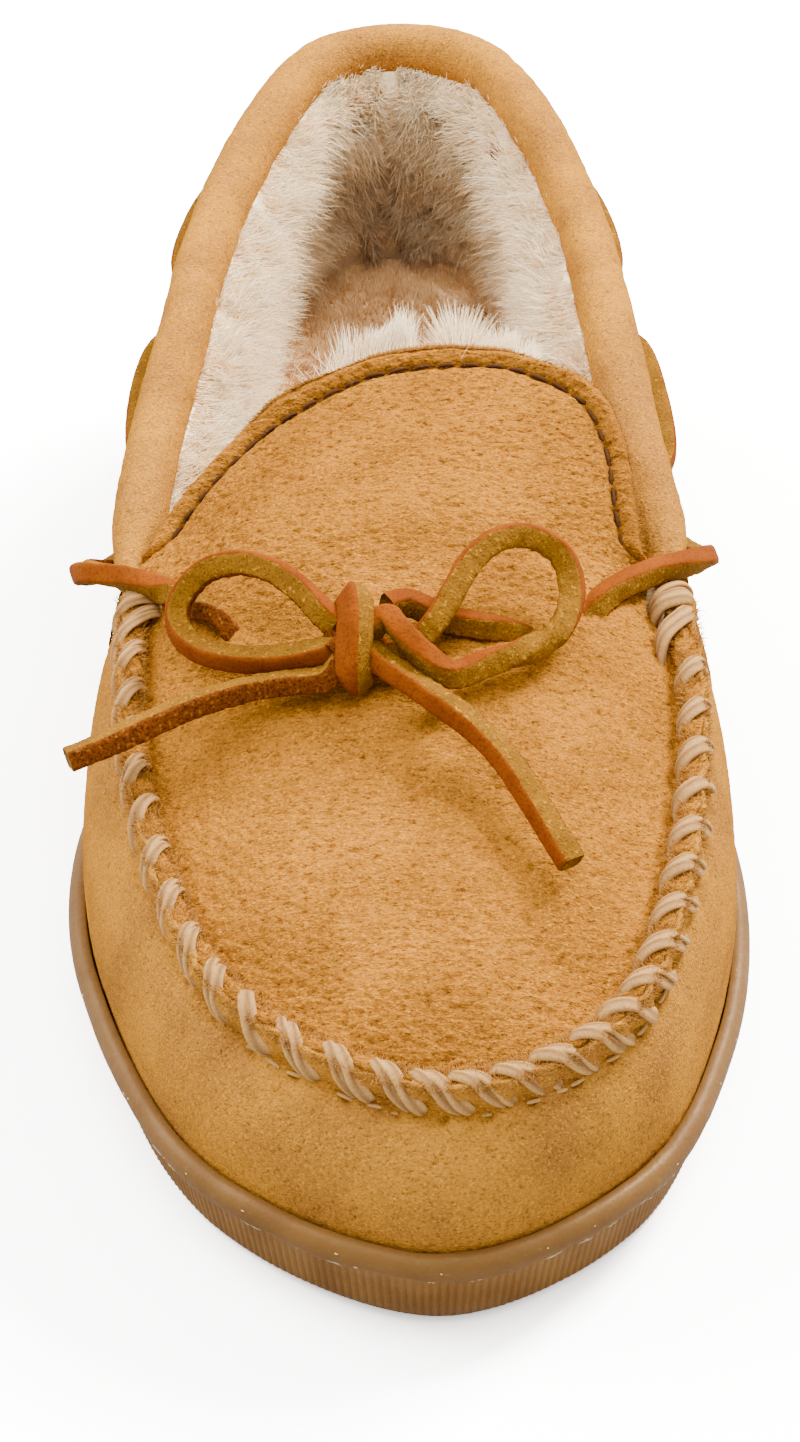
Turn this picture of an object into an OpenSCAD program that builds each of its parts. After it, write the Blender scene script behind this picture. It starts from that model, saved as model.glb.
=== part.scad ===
// Moccasin slipper with a rubber sole, pile lining, padded collar and rawhide bow.
// Right foot. Millimetres. X to the inner side, toe towards -Y, Z up, ground at Z = 0.

/* [Size] */
// heel to toe length of the rubber sole
shoe_length = 276.5; // [230:0.5:310]
// widest part of the rubber band across the ball
ball_width = 108; // [90:0.5:125]

/* [Sole] */
// height of the ribbed outsole edge
rib_height = 10.2; // [6:0.1:12]
// how far the outsole edge leans in at the ground
rib_lean = 2.0; // [0:0.1:4]
// number of flutes round the outsole edge
flute_count = 170; // [60:1:220]
// depth of each flute
flute_depth = 0.5; // [0.2:0.1:1]
// height of the smooth rubber band above the ribs
band_height = 3.6; // [3:0.1:8]
// how far the toe lifts off the ground
toe_spring = 1.8; // [0:0.1:6]
// depth of the tread grooves
groove_depth = 1.4; // [0.5:0.1:3]

/* [Upper] */
// thickness of the suede
suede = 1.6; // [1:0.1:2.5]
// thickness of the pile lining backing and pressed pile
pile = 3.5; // [2:0.1:6]
// height of the puckered seam above the suede
seam_height = 5; // [3:0.1:8]
// diameter of the padded collar
collar_d = 9.4; // [6:0.1:14]
// thickness of the collar suede
collar_skin = 1.1; // [0.8:0.1:1.6]

/* [Stitching] */
// number of whip stitches over the puckered seam
whip_count = 28; // [16:1:36]
// thickness of one whip stitch
whip_d = 2.2; // [1:0.1:3]

/* [Lace] */
// width of the square rawhide lace
lace_w = 3.2; // [2:0.1:5]

/* [Hidden] */
// small space left between glued or sewn layers
gap = 0.2;
fit = 0.3;
sx = ball_width / 108;
sy = shoe_length / 276.5;
top_z = rib_height + band_height;
band_z = rib_height + gap;

// stations run from the heel centre down the outer side, round the toe and back
SOLE = [[0, 138], [-21, 130], [-31.5, 106], [-35, 72], [-38.5, 32], [-45.5, -6], [-52, -44],
    [-47.5, -79], [-29.5, -118.5], [5, -138.5], [36, -120.5], [50.5, -87], [54.5, -50],
    [48.5, -8], [39, 32], [34.5, 72], [31.5, 106], [21, 130]];
// top of the wall: middle of the collar at the rear, foot of the puckered seam at the front
TOP = [[0, 129, 70], [-15.5, 121.5, 70], [-25.5, 98, 68.5], [-33, 66, 66], [-37.5, 32, 62.5],
    [-41.5, 0, 57.5], [-43.5, -38, 50.5], [-40, -75, 44], [-25.5, -111, 37.5],
    [5, -127.5, 34.5], [32, -117, 38], [43.5, -87, 44], [46.5, -50, 50.5], [42.5, -8, 57.5],
    [36.5, 32, 62.5], [32.5, 66, 66], [25.5, 98, 68.5], [15.5, 121.5, 70]];
// how far the wall swells outwards, and at what height
SWELL = [[4, 44], [4, 44], [3.5, 42], [3.5, 40], [3.5, 38], [3, 38], [2, 38], [2, 34], [2, 30],
    [1.5, 28.5], [2, 30], [2, 34], [2, 38], [3, 38], [3.5, 38], [3.5, 40], [3.5, 42], [4, 44]];
// apron and tongue rows from the toe to the tongue tip:
// outer edge, inner edge, height of the arch between them, bow towards the toe
ROWS = [[-3, -126.7, 35, 13, -126.8, 35.2, 0.5, 0.3],
    [-21, -114, 37.2, 28, -119.7, 37.2, 4.5, 2.5],
    [-32, -98, 40, 38, -103.5, 40.8, 8, 3.5],
    [-38.5, -80, 43.5, 43.8, -82, 44.8, 10.5, 2],
    [-42.5, -58, 47, 46, -60, 48.8, 13, 0],
    [-43.5, -40, 50, 45.5, -44, 51.5, 15, 0],
    [-41.5, -27, 54.5, 38, -33, 57.5, 14.5, -1],
    [-35, -15, 62, 35.5, -22, 66.5, 9, -2.5],
    [-25, -4, 69, 33.5, -9, 73, 5, -4],
    [-15, 2.5, 74.5, 27, 1, 77.5, 2, -4],
    [-5, 6.5, 77.5, 18, 6.2, 79, 0.5, -1]];
// row at which the tongue starts to bend
bend_row = 6.1;

// lace routes, hand laid
LACE_COLLAR = [[-8.5, -55.5, 58.5], [-13, -52.5, 58], [-19, -49, 56.5], [-24, -45.5, 56], [-28, -42.5, 59.5],
    [-32, -38.9, 59.9], [-37.5, -33.5, 59.2], [-43.5, -28.5, 58], [-49.3, -24, 56], [-50.8, -19, 52.6],
    [-46.8, -13.2, 49.3], [-42.2, -6.5, 49.2], [-41.4, 1, 50], [-41, 8, 51.5], [-44, 16, 53.5], [-44, 30, 55.5],
    [-41.5, 42, 57], [-36, 50, 57], [-34.5, 58, 57.5], [-38.5, 66, 59.5], [-36, 82, 61],
    [-31, 94, 61.5], [-24, 98, 61], [-18.5, 105, 61.5], [-21.5, 117, 62.5], [-15.5, 128, 62.5],
    [0, 135, 62.5], [15.5, 128, 62.5], [21.5, 117, 62.5], [18.5, 105, 61.5], [24, 98, 61],
    [31, 94, 61.5], [35.5, 82, 61], [37.5, 66, 59.5], [33.5, 58, 57.5], [35, 50, 57],
    [41, 42, 57], [43.5, 30, 55.5], [44.5, 16, 53.5], [42, 8, 51.5], [42.4, 1.5, 50.3], [43.6, -5, 50],
    [47.6, -12.5, 51.5], [49, -19, 55.5], [46, -25, 58.6], [39, -31, 60.6], [32.5, -37.5, 61.2],
    [28.5, -41.5, 58.8], [24.5, -44.5, 57.8], [20.5, -47.2, 59], [16.8, -49.2, 62.5],
    [11.5, -50.9, 64.8], [6.5, -50.6, 66], [1.5, -49.6, 68], [-2.2, -52, 69]];
LOOP_LEFT = [[-11.8, -54, 69.4], [-13.8, -51.7, 70.4], [-16.6, -48.5, 71.1], [-20, -45.3, 71.3],
    [-24.5, -42.6, 70.6], [-29.1, -41.1, 68.6], [-32.4, -41.3, 65.6], [-34.3, -43.4, 62.6], [-33.6, -47.2, 60.6],
    [-30.2, -51.3, 60.2], [-24.7, -54.5, 61], [-18.5, -56.6, 62.6], [-12.5, -58.2, 65]];
LOOP_RIGHT = [[-1.8, -56.4, 70], [0.5, -60, 69.6], [3.8, -63.3, 67.8], [7, -64.6, 65.6], [9.8, -62.8, 64.6],
    [13.1, -60.2, 64.4], [17.5, -58.2, 64.6], [21.7, -55.7, 65], [24.7, -52, 65.6], [26.3, -47.4, 67],
    [26.1, -43.6, 69.2], [24.3, -41.1, 71.6], [21.2, -40.5, 73.6], [17.6, -41.5, 75], [13.9, -43.7, 75],
    [10.6, -47, 73.6], [8, -51.3, 71.2], [5.4, -54.9, 68.4], [1.8, -57, 65.2], [-1.8, -57.9, 64.2]];
TAIL_LEFT = [[-11.3, -62.1, 62.8], [-16.6, -61.4, 61.6], [-22.7, -61.4, 60.4], [-28.1, -62.5, 59.4],
    [-33.5, -64.8, 58.6], [-38.9, -67.8, 57.8], [-44.3, -71, 57], [-49.6, -73.4, 56]];
TAIL_RIGHT = [[-2.4, -62.4, 65.8], [0, -64.9, 65.7], [4.5, -68.9, 64.8], [10.4, -73.5, 62.8],
    [15.5, -78.9, 60.5], [19.1, -84.6, 58], [22.4, -90.2, 55.4], [25, -94.3, 53]];
KNOT = [-7, -57, 66.5];

c_rubber = [0.62, 0.43, 0.24];
c_band = [0.68, 0.49, 0.28];
c_suede = [0.80, 0.58, 0.34];
c_pile = [0.90, 0.83, 0.74];
c_thread = [0.82, 0.73, 0.58];
c_lace = [0.66, 0.38, 0.18];
c_foam = [0.86, 0.84, 0.78];
c_board = [0.70, 0.62, 0.48];
c_dark = [0.30, 0.18, 0.10];

// ---- curves -------------------------------------------------------------------------------
// smooth curve through four points
function span(a, b, c, d, t) = 0.5 * (2 * b + (c - a) * t + (2 * a - 5 * b + 4 * c - d) * t * t
    + (3 * b - a - 3 * c + d) * t * t * t);
// closed and open curves through a table
function round_trip(P, s) = let (m = len(P), k = s - floor(s / m) * m, i = floor(k))
    span(P[(i + m - 1) % m], P[i % m], P[(i + 1) % m], P[(i + 2) % m], k - i);
function along(P, s) = let (m = len(P), i = min(max(floor(s), 0), m - 2))
    span(P[max(i - 1, 0)], P[i], P[i + 1], P[min(i + 2, m - 1)], s - i);
function unit(v) = v / norm(v);
function size2(p) = [p[0] * sx, p[1] * sy];
function size3(p) = [p[0] * sx, p[1] * sy, p[2]];
function sole_at(s) = size2(round_trip(SOLE, s));
function out_at(s) = let (d = sole_at(s + 0.02) - sole_at(s - 0.02)) unit([d[1], -d[0]]);
function edge(s, inset) = sole_at(s) - out_at(s) * inset;
function lift(y) = let (k = max(0, (-60 - y) / 78)) toe_spring * k * k;
function top_at(s) = size3(round_trip(TOP, s));

// ---- wall surface -------------------------------------------------------------------------
seat = 2.2;
function foot_of(s) = let (p = edge(s, seat)) [p[0], p[1], top_z - 0.6 + lift(p[1])];
function swell_of(s) = let (b = round_trip(SWELL, s), p = edge(s, seat - b[0])) [p[0], p[1], b[1]];
function wall_p(s, t) = (1 - t) * (1 - t) * foot_of(s) + 2 * t * (1 - t) * swell_of(s)
    + t * t * top_at(s);
function wall_n(s, t) = let (u = wall_p(s + 0.03, t) - wall_p(s - 0.03, t),
    v = wall_p(s, min(t + 0.02, 1)) - wall_p(s, max(t - 0.02, 0))) unit(cross(u, v));
function wall_in(s, t, d) = wall_p(s, t) - wall_n(s, t) * d;
// highest t that stays clear of the collar
function under_collar(s) = 1 - (collar_d / 2 + 0.6) / (2 * norm(top_at(s) - swell_of(s)));

// ---- apron surface ------------------------------------------------------------------------
function row_at(v) = along(ROWS, v);
function apron_p(u, v) = let (r = row_at(v), c = 1 - u * u,
    a = size3([r[0], r[1], r[2]]), b = size3([r[3], r[4], r[5]]))
    (a * (1 - u) + b * (1 + u)) / 2 + [0, -r[7] * c, r[6] * c];
function apron_n(u, v) = let (du = apron_p(u + 0.02, v) - apron_p(u - 0.02, v),
    dv = apron_p(u, v + 0.04) - apron_p(u, v - 0.04)) unit(cross(du, dv));
function apron_in(u, v, d) = apron_p(u, v) - apron_n(u, v) * d;
function half_row(v) = let (r = row_at(v)) norm([(r[3] - r[0]) * sx, (r[4] - r[1]) * sy]) / 2;
// share of the row left after a margin at each side
function inside(v, m) = 1 - m / half_row(v);

// ---- solids -------------------------------------------------------------------------------
// closed shell between an outer and an inner grid, both [along][up]
module shell(outer, inner, loop = false) {
    n = len(outer);
    m = len(outer[0]);
    pts = concat([for (r = outer) for (p = r) p], [for (r = inner) for (p = r) p]);
    h = n * m;
    last = loop ? n - 1 : n - 2;
    faces = concat(
        [for (i = [0:last]) for (j = [0:m - 2]) let (a = i * m + j, b = ((i + 1) % n) * m + j)
            each [[a, b + 1, b], [a, a + 1, b + 1]]],
        [for (i = [0:last]) for (j = [0:m - 2]) let (a = h + i * m + j,
            b = h + ((i + 1) % n) * m + j) each [[a, b, b + 1], [a, b + 1, a + 1]]],
        [for (i = [0:last]) let (a = i * m, b = ((i + 1) % n) * m)
            each [[a, b, h + b], [a, h + b, h + a]]],
        [for (i = [0:last]) let (a = i * m + m - 1, b = ((i + 1) % n) * m + m - 1)
            each [[a, h + b, b], [a, h + a, h + b]]],
        loop ? [] : [for (j = [0:m - 2]) each [[j, h + j, h + j + 1], [j, h + j + 1, j + 1]]],
        loop ? [] : [for (j = [0:m - 2]) let (a = (n - 1) * m + j)
            each [[a, h + a + 1, h + a], [a, a + 1, h + a + 1]]]);
    polyhedron(pts, faces, convexity = 10);
}
// rings swept into a solid, ends closed with a middle point, or joined into a loop
module sweep(rings, loop = false) {
    n = len(rings);
    k = len(rings[0]);
    flat = [for (r = rings) for (p = r) p];
    first = [for (a = [0:2]) let (v = [for (p = rings[0]) p[a]]) add(v) / k];
    final = [for (a = [0:2]) let (v = [for (p = rings[n - 1]) p[a]]) add(v) / k];
    faces = concat(
        [for (i = [0:(loop ? n - 1 : n - 2)]) for (j = [0:k - 1]) let (a = i * k, b = ((i + 1) % n) * k,
            q = (j + 1) % k) each [[a + j, b + q, b + j], [a + j, a + q, b + q]]],
        loop ? [] : [for (j = [0:k - 1]) [n * k, (j + 1) % k, j]],
        loop ? [] : [for (j = [0:k - 1]) [n * k + 1, (n - 1) * k + j, (n - 1) * k + (j + 1) % k]]);
    polyhedron(loop ? flat : concat(flat, [first, final]), faces, convexity = 10);
}
// hollow tube between two lists of rings, open at neither side but cut square at the ends
module tube(rings, hollow) {
    n = len(rings);
    k = len(rings[0]);
    h = n * k;
    e = (n - 1) * k;
    faces = concat(
        [for (i = [0:n - 2]) for (j = [0:k - 1]) let (a = i * k, b = (i + 1) * k, q = (j + 1) % k)
            each [[a + j, b + q, b + j], [a + j, a + q, b + q]]],
        [for (i = [0:n - 2]) for (j = [0:k - 1]) let (a = h + i * k, b = h + (i + 1) * k,
            q = (j + 1) % k) each [[a + j, b + j, b + q], [a + j, b + q, a + q]]],
        [for (j = [0:k - 1]) let (q = (j + 1) % k)
            each [[j, h + j, h + q], [j, h + q, q]]],
        [for (j = [0:k - 1]) let (q = (j + 1) % k)
            each [[e + j, h + e + q, h + e + j], [e + j, e + q, h + e + q]]]);
    polyhedron([for (r = concat(rings, hollow)) for (p = r) p], faces, convexity = 10);
}
function add(v, i = 0) = i == len(v) ? 0 : v[i] + add(v, i + 1);
// flat layer with the plan of the sole, following the toe spring
module layer(inset, low, high, n = 54) {
    S = [for (i = [0:n - 1]) i * 18 / n];
    mid = [0, 10 * sy];
    ring = [for (s = S) edge(s, inset)];
    pts = concat([for (p = ring) [p[0], p[1], low + lift(p[1])]],
        [for (p = ring) [p[0], p[1], high + lift(p[1])]],
        [[mid[0], mid[1], low], [mid[0], mid[1], high]]);
    faces = concat(
        [for (i = [0:n - 1]) let (j = (i + 1) % n) each [[i, n + j, j], [i, n + i, n + j]]],
        [for (i = [0:n - 1]) [2 * n, i, (i + 1) % n]],
        [for (i = [0:n - 1]) [2 * n + 1, n + (i + 1) % n, n + i]]);
    polyhedron(pts, faces, convexity = 6);
}
// wall shell between two depths below the outer surface
module wall_shell(s0, s1, n, t0, t1, d0, d1, m) {
    outer = [for (i = [0:n]) let (s = s0 + (s1 - s0) * i / n) [for (j = [0:m])
        wall_in(s, t0 + (t1 - t0) * j / m, d0)]];
    inner = [for (i = [0:n]) let (s = s0 + (s1 - s0) * i / n) [for (j = [0:m])
        wall_in(s, t0 + (t1 - t0) * j / m, d1)]];
    shell(outer, inner);
}
// square lace with softened corners, swept along a smooth route
function frame(d) = let (side = unit(cross(d, [0, 0, 1] + d * 0.001))) [side, cross(side, d)];
module lace(route, n) {
    a = lace_w / 2;
    b = lace_w * 0.32;
    SHAPE = [[a, b], [b, a], [-b, a], [-a, b], [-a, -b], [-b, -a], [b, -a], [a, -b]];
    P = [for (p = route) size3(p)];
    m = len(P) - 1;
    rings = [for (i = [0:n]) let (s = i * m / n, c = along(P, s),
        d = unit(along(P, min(s + 0.05, m)) - along(P, max(s - 0.05, 0))), f = frame(d))
        [for (q = SHAPE) c + f[0] * q[0] + f[1] * q[1]]];
    sweep(rings);
}

// ---- sole ---------------------------------------------------------------------------------
// even steps round the sole edge
ARC = [for (i = 0, run = 0; i <= 360; run = run + norm(sole_at((i + 1) / 20) - sole_at(i / 20)),
    i = i + 1) [run, i / 20]];
round_length = ARC[360][0];
module outsole() {
    n = flute_count * 2;
    S = [for (i = [0:n - 1]) lookup(i * round_length / n, ARC)];
    low = [for (i = [0:n - 1]) edge(S[i], 0.6 + rib_lean + (i % 2) * flute_depth)];
    high = [for (i = [0:n - 1]) edge(S[i], 0.6 + (i % 2) * flute_depth)];
    mid = [0, 10 * sy];
    pts = concat([for (p = low) [p[0], p[1], lift(p[1])]],
        [for (p = high) [p[0], p[1], rib_height + lift(p[1])]],
        [[mid[0], mid[1], 0], [mid[0], mid[1], rib_height]]);
    faces = concat(
        [for (i = [0:n - 1]) let (j = (i + 1) % n) each [[i, n + j, j], [i, n + i, n + j]]],
        [for (i = [0:n - 1]) [2 * n, i, (i + 1) % n]],
        [for (i = [0:n - 1]) [2 * n + 1, n + (i + 1) % n, n + i]]);
    color(c_rubber)
    difference() {
        polyhedron(pts, faces, convexity = 10);
        // cross grooves under the forefoot
        for (k = [0:5])
            translate([-32 * sx, (-98 + 15 * k) * sy, -5])
                cube([66 * sx, 3, 5 + groove_depth]);
        // cross grooves under the heel
        for (k = [0:3])
            translate([-22 * sx, (62 + 15 * k) * sy, -5])
                cube([44 * sx, 3, 5 + groove_depth]);
    }
}
module foxing_band() {
    n = 72;
    profile = [[0.1, 0], [0.8, 1.2], [0.7, band_height - 1.6], [-0.3, band_height - 0.2],
        [-1.7, band_height], [-1.9, 0]];
    color(c_band)
    sweep([for (i = [0:n - 1]) let (s = i * 18 / n) [for (q = profile)
        let (p = edge(s, -q[0])) [p[0], p[1], band_z + q[1] + lift(p[1])]]], true);
}
module midsole() {
    color(c_foam)
    layer(seat + suede + 0.4, band_z, band_z + 2);
}
module insole_board() {
    color(c_board)
    layer(seat + suede + 0.4, band_z + 2.2, band_z + 3.4);
}
module insole_foam() {
    color(c_foam)
    layer(9.2, band_z + 3.6, band_z + 7.6);
}
module sock_lining() {
    color(c_pile)
    layer(9.2, band_z + 7.8, band_z + 12.8);
}

// ---- upper --------------------------------------------------------------------------------
front_a = 5.73;
front_b = 12.47;
// the seam rises from nothing at both rear ends
function rise(s) = seam_height * min(1, max(0.06, min((s - front_a) / 0.3, (front_b - s) / 0.3)));
// direction in which the seam stands up
function stand(s) = let (o = out_at(s)) unit([o[0] * 0.1, o[1] * 0.1, 1]);
module vamp() {
    n = 34;
    S = [for (i = [0:n]) front_a + (front_b - front_a) * i / n];
    T = [0, 0.15, 0.32, 0.5, 0.68, 0.84, 1];
    outer = [for (s = S) let (f = foot_of(s)) concat(
        [[f[0], f[1], band_z + lift(f[1])]],
        [for (t = T) wall_p(s, t)],
        [top_at(s) + stand(s) * rise(s)])];
    inner = [for (s = S) let (f = foot_of(s), o = out_at(s), k = [o[0], o[1], 0] * suede) concat(
        [[f[0], f[1], band_z + lift(f[1])] - k],
        [for (t = T) t < 1 ? wall_in(s, t, suede) : top_at(s) - k - [0, 0, 0.4]],
        [top_at(s) + stand(s) * rise(s) - k])];
    color(c_suede)
    shell(outer, inner);
}
// stitched-up margin of the apron, standing against the top of the vamp
module apron_edge() {
    n = 34;
    a = suede + gap;
    b = 2 * suede + gap;
    color(c_suede)
    sweep([for (i = [0:n]) let (s = 5.95 + (12.25 - 5.95) * i / n, o = out_at(s),
        p = top_at(s), k = [o[0], o[1], 0], up = stand(s))
        [p - k * a, p - k * a + up * seam_height, p - k * b + up * (seam_height - 0.3),
            p - k * b]]);
}
module quarter(side) {
    n = 17;
    a = side < 0 ? 0.1 : -0.1;
    b = side < 0 ? 5.72 : -5.52;
    S = [for (i = [0:n]) a + (b - a) * i / n];
    T = [0, 0.2, 0.4, 0.6, 0.8, 1];
    grid = side < 0 ? S : [for (i = [n:-1:0]) S[i]];
    outer = [for (s = grid) let (f = foot_of(s), k = abs(s) > 5.35 ? 0.96 : under_collar(s))
        concat([[f[0], f[1], band_z + lift(f[1])]], [for (t = T) wall_p(s, t * k)])];
    inner = [for (s = grid) let (f = foot_of(s), o = out_at(s),
        k = abs(s) > 5.35 ? 0.96 : under_collar(s))
        concat([[f[0], f[1], band_z + lift(f[1])] - [o[0], o[1], 0] * suede],
            [for (t = T) wall_in(s, t * k, suede)])];
    color(c_suede)
    difference() {
        shell(outer, inner);
        // slits for the lace, cut well wider than it
        for (s = side < 0 ? [4.85, 4.5, 3.55, 3.2, 2.15, 1.65] : [-4.85, -4.5, -3.55, -3.2, -2.15, -1.65])
            slit(s);
    }
}
// short upright slot through the quarter where the lace changes sides
module slit(s) {
    o = out_at(s);
    p = wall_p(s, 0.85);
    translate([p[0], p[1], top_at(s)[2] - 7.2])
        rotate([0, 0, atan2(o[1], o[0])])
            cube([9, 9, 4.6], center = true);
}
module quarter_left() {
    quarter(-1);
}
module quarter_right() {
    quarter(1);
}
module back_stay() {
    color(c_suede)
    wall_shell(-0.34, 0.34, 8, 0.04, 0.78, -1.4, -0.2, 6);
}
module heel_counter() {
    color(c_board)
    wall_shell(-1.5, 1.5, 20, 0.06, 0.66, suede + 0.5, suede + 1.1, 4);
}
module apron() {
    n = 16;
    m = 12;
    V = [for (i = [0:n]) 0.66 + (bend_row - 0.02 - 0.66) * i / n];
    color(c_suede)
    sheet(V, 4.9, 2.6, 0, suede, m);
}
module tongue() {
    color(c_suede)
    sheet([for (i = [0:9]) bend_row + 0.02 + (10 - bend_row - 0.02) * i / 9], 0, 0, 0, suede, 12);
}
// part of the apron surface between two depths, with a margin at both sides
module sheet(V, margin, extra, d0, d1, m) {
    n = len(V) - 1;
    function w(v) = inside(v, margin + extra * max(0, 1 - v / 3));
    top = [for (v = V) [for (j = [0:m]) apron_in(w(v) * (2 * j / m - 1), v, d0)]];
    low = [for (v = V) [for (j = [0:m]) apron_in(w(v) * (2 * j / m - 1), v, d1)]];
    shell(low, top);
}
module vamp_lining() {
    color(c_pile)
    wall_shell(front_a, front_b, 26, 0.1, 0.74, suede + gap, suede + gap + pile, 5);
}
module quarter_lining_left() {
    color(c_pile)
    wall_shell(0.1, 5.72, 14, 0.1, 0.84, suede + 1.5, suede + 1.5 + pile, 5);
}
module quarter_lining_right() {
    color(c_pile)
    wall_shell(-5.52, -0.1, 14, 0.1, 0.84, suede + 1.5, suede + 1.5 + pile, 5);
}
module apron_lining() {
    color(c_pile)
    sheet([for (i = [0:12]) 0.9 + (bend_row - 0.06 - 0.9) * i / 12], 8, 3, suede + gap,
        suede + gap + pile, 8);
}
module tongue_lining() {
    color(c_pile)
    sheet([for (i = [0:8]) bend_row + 0.06 + (9.85 - bend_row - 0.06) * i / 8], 2.5, 0,
        suede + gap, suede + gap + pile, 8);
}

// ---- collar -------------------------------------------------------------------------------
collar_a = -5.2;
collar_b = 5.42;
function collar_taper(s) = min(1, 0.55 + 0.9 * min(s - collar_a, collar_b - s));
function collar_ring(s, r, k) = let (o = out_at(s), c = top_at(s), q = r * collar_taper(s))
    [for (j = [0:k - 1]) let (a = 360 * j / k) c + [o[0], o[1], 0] * q * cos(a) + [0, 0, 1] * q * sin(a)];
module collar_roll() {
    n = 34;
    k = 10;
    r = collar_d / 2;
    S = [for (i = [0:n]) collar_a + (collar_b - collar_a) * i / n];
    rings = [for (s = S) collar_ring(s, r, k)];
    hollow = [for (s = S) collar_ring(s, r - collar_skin, k)];
    color(c_suede)
    tube(rings, hollow);
}
module collar_foam() {
    n = 26;
    k = 8;
    S = [for (i = [0:n]) collar_a + 0.08 + (collar_b - collar_a - 0.16) * i / n];
    color(c_foam)
    sweep([for (s = S) collar_ring(s, collar_d / 2 - collar_skin - 0.5, k)]);
}

// ---- stitching ----------------------------------------------------------------------------
function whip_s(i) = 6.05 + (12.15 - 6.05) * (i + 0.5) / whip_count;
// one slanted stitch over the seam, as an arc of thread
module whip(s) {
    o = out_at(s);
    d = [-o[1], o[0], 0];
    k = [o[0], o[1], 0];
    c = top_at(s) - k * (suede + gap / 2) + stand(s) * (seam_height / 2);
    r = whip_d / 2;
    w = suede + r + 0.45;
    h = seam_height / 2 + r + 0.35;
    // the arc runs from outside the vamp, over the top, to the apron side
    ARCH = [[w + 0.2, -h * 0.35, 3], [w + 0.1, h * 0.55, 1.9], [w * 0.45, h, 0.6],
        [-w * 0.45, h, -0.6], [-w - 0.1, h * 0.95, -1.9], [-w - 0.5, h * 0.82, -2.8]];
    P = [for (q = ARCH) c + k * q[0] + [0, 0, 1] * q[1] + d * q[2]];
    sweep([for (i = [0:5]) let (e = unit(P[min(i + 1, 5)] - P[max(i - 1, 0)]), a = unit(cross(e, d)),
        b = cross(a, e), g = i == 0 || i == 5 ? 0.6 : 1)
        [for (j = [0:5]) P[i] + (b * cos(60 * j) * r + a * sin(60 * j) * r * 0.62) * g]]);
}
module whip_stitches() {
    color(c_thread)
    for (i = [0:whip_count - 1])
        whip(whip_s(i));
}
// short flat stitch lying on the wall
module wall_dash(s, t, long) {
    p = wall_in(s, t, -0.45);
    e = unit(wall_p(s + 0.03, t) - wall_p(s - 0.03, t));
    translate(p)
        rotate([0, atan2(-e[2], norm([e[0], e[1]])), atan2(e[1], e[0])])
            cube([long, 0.4, 0.4], center = true);
}
module vamp_stitching() {
    color(c_thread)
    for (i = [0:55])
        wall_dash(6.0 + 6.2 * (i + 0.5) / 56, 0.955, 3);
}
module side_seam_left() {
    color(c_dark)
    for (i = [0:6])
        wall_dash(5.5, 0.2 + 0.09 * i, 2.2);
}
module side_seam_right() {
    color(c_dark)
    for (i = [0:6])
        wall_dash(-5.3, 0.2 + 0.09 * i, 2.2);
}
module tongue_stitching() {
    n = 26;
    color(c_dark)
    for (i = [0:n - 1]) {
        f = (i + 0.5) / n;
        // down one side, across the tip and up the other side
        u = f < 0.4 ? -1 : f > 0.6 ? 1 : (f - 0.5) * 10;
        v = f < 0.4 ? 6.4 + 3.35 * f / 0.4 : f > 0.6 ? 6.4 + 3.35 * (1 - f) / 0.4 : 9.75;
        q = inside(v, 3) * u;
        p = apron_in(q, v, -0.5);
        e = abs(u) == 1 ? unit(apron_p(q, v + 0.1) - apron_p(q, v - 0.1))
            : unit(apron_p(q + 0.1, v) - apron_p(q - 0.1, v));
        translate(p)
            rotate([0, atan2(-e[2], norm([e[0], e[1]])), atan2(e[1], e[0])])
                cube([2.8, 0.4, 0.4], center = true);
    }
}
module size_label() {
    s = -2.2;
    o = out_at(s);
    p = wall_in(s, 0.8, suede + 1.5 + pile + 1.4);
    color([0.92, 0.89, 0.82])
    translate(p)
        rotate([0, 0, atan2(o[1], o[0])])
            cube([0.6, 9, 8], center = true);
}

// ---- lace ---------------------------------------------------------------------------------
module lace_collar() {
    color(c_lace)
    lace(LACE_COLLAR, 48);
}
module bow_loop_left() {
    color(c_lace)
    lace(LOOP_LEFT, 10);
}
module bow_loop_right() {
    color(c_lace)
    lace(LOOP_RIGHT, 14);
}
module bow_tail_left() {
    color(c_lace)
    lace(TAIL_LEFT, 4);
}
module bow_tail_right() {
    color(c_lace)
    lace(TAIL_RIGHT, 5);
}
// upright wrap of lace over the crossed strands that it holds
module bow_knot() {
    w = lace_w * 0.8;
    color(c_lace)
    translate(size3(KNOT))
        rotate([32, 0, 8]) {
            sweep([for (i = [0:13]) let (a = -i * 360 / 14, e = [0, cos(a), sin(a)])
                [for (q = [[w, 0.1], [w * 0.7, 1.6], [-w * 0.7, 1.6], [-w, 0.1], [-w * 0.7, -0.9],
                    [w * 0.7, -0.9]]) [q[0], cos(a) * 5.6, sin(a) * 2.9] + e * q[1]]], true);
            cube([5.6, 7, 4.4], center = true);
        }
}

outsole();
foxing_band();
midsole();
insole_board();
insole_foam();
sock_lining();
vamp();
quarter_left();
quarter_right();
back_stay();
heel_counter();
apron();
apron_edge();
tongue();
vamp_lining();
apron_lining();
tongue_lining();
quarter_lining_left();
quarter_lining_right();
collar_roll();
collar_foam();
whip_stitches();
vamp_stitching();
tongue_stitching();
side_seam_left();
side_seam_right();
size_label();
lace_collar();
bow_knot();
bow_loop_left();
bow_loop_right();
bow_tail_left();
bow_tail_right();
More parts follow.
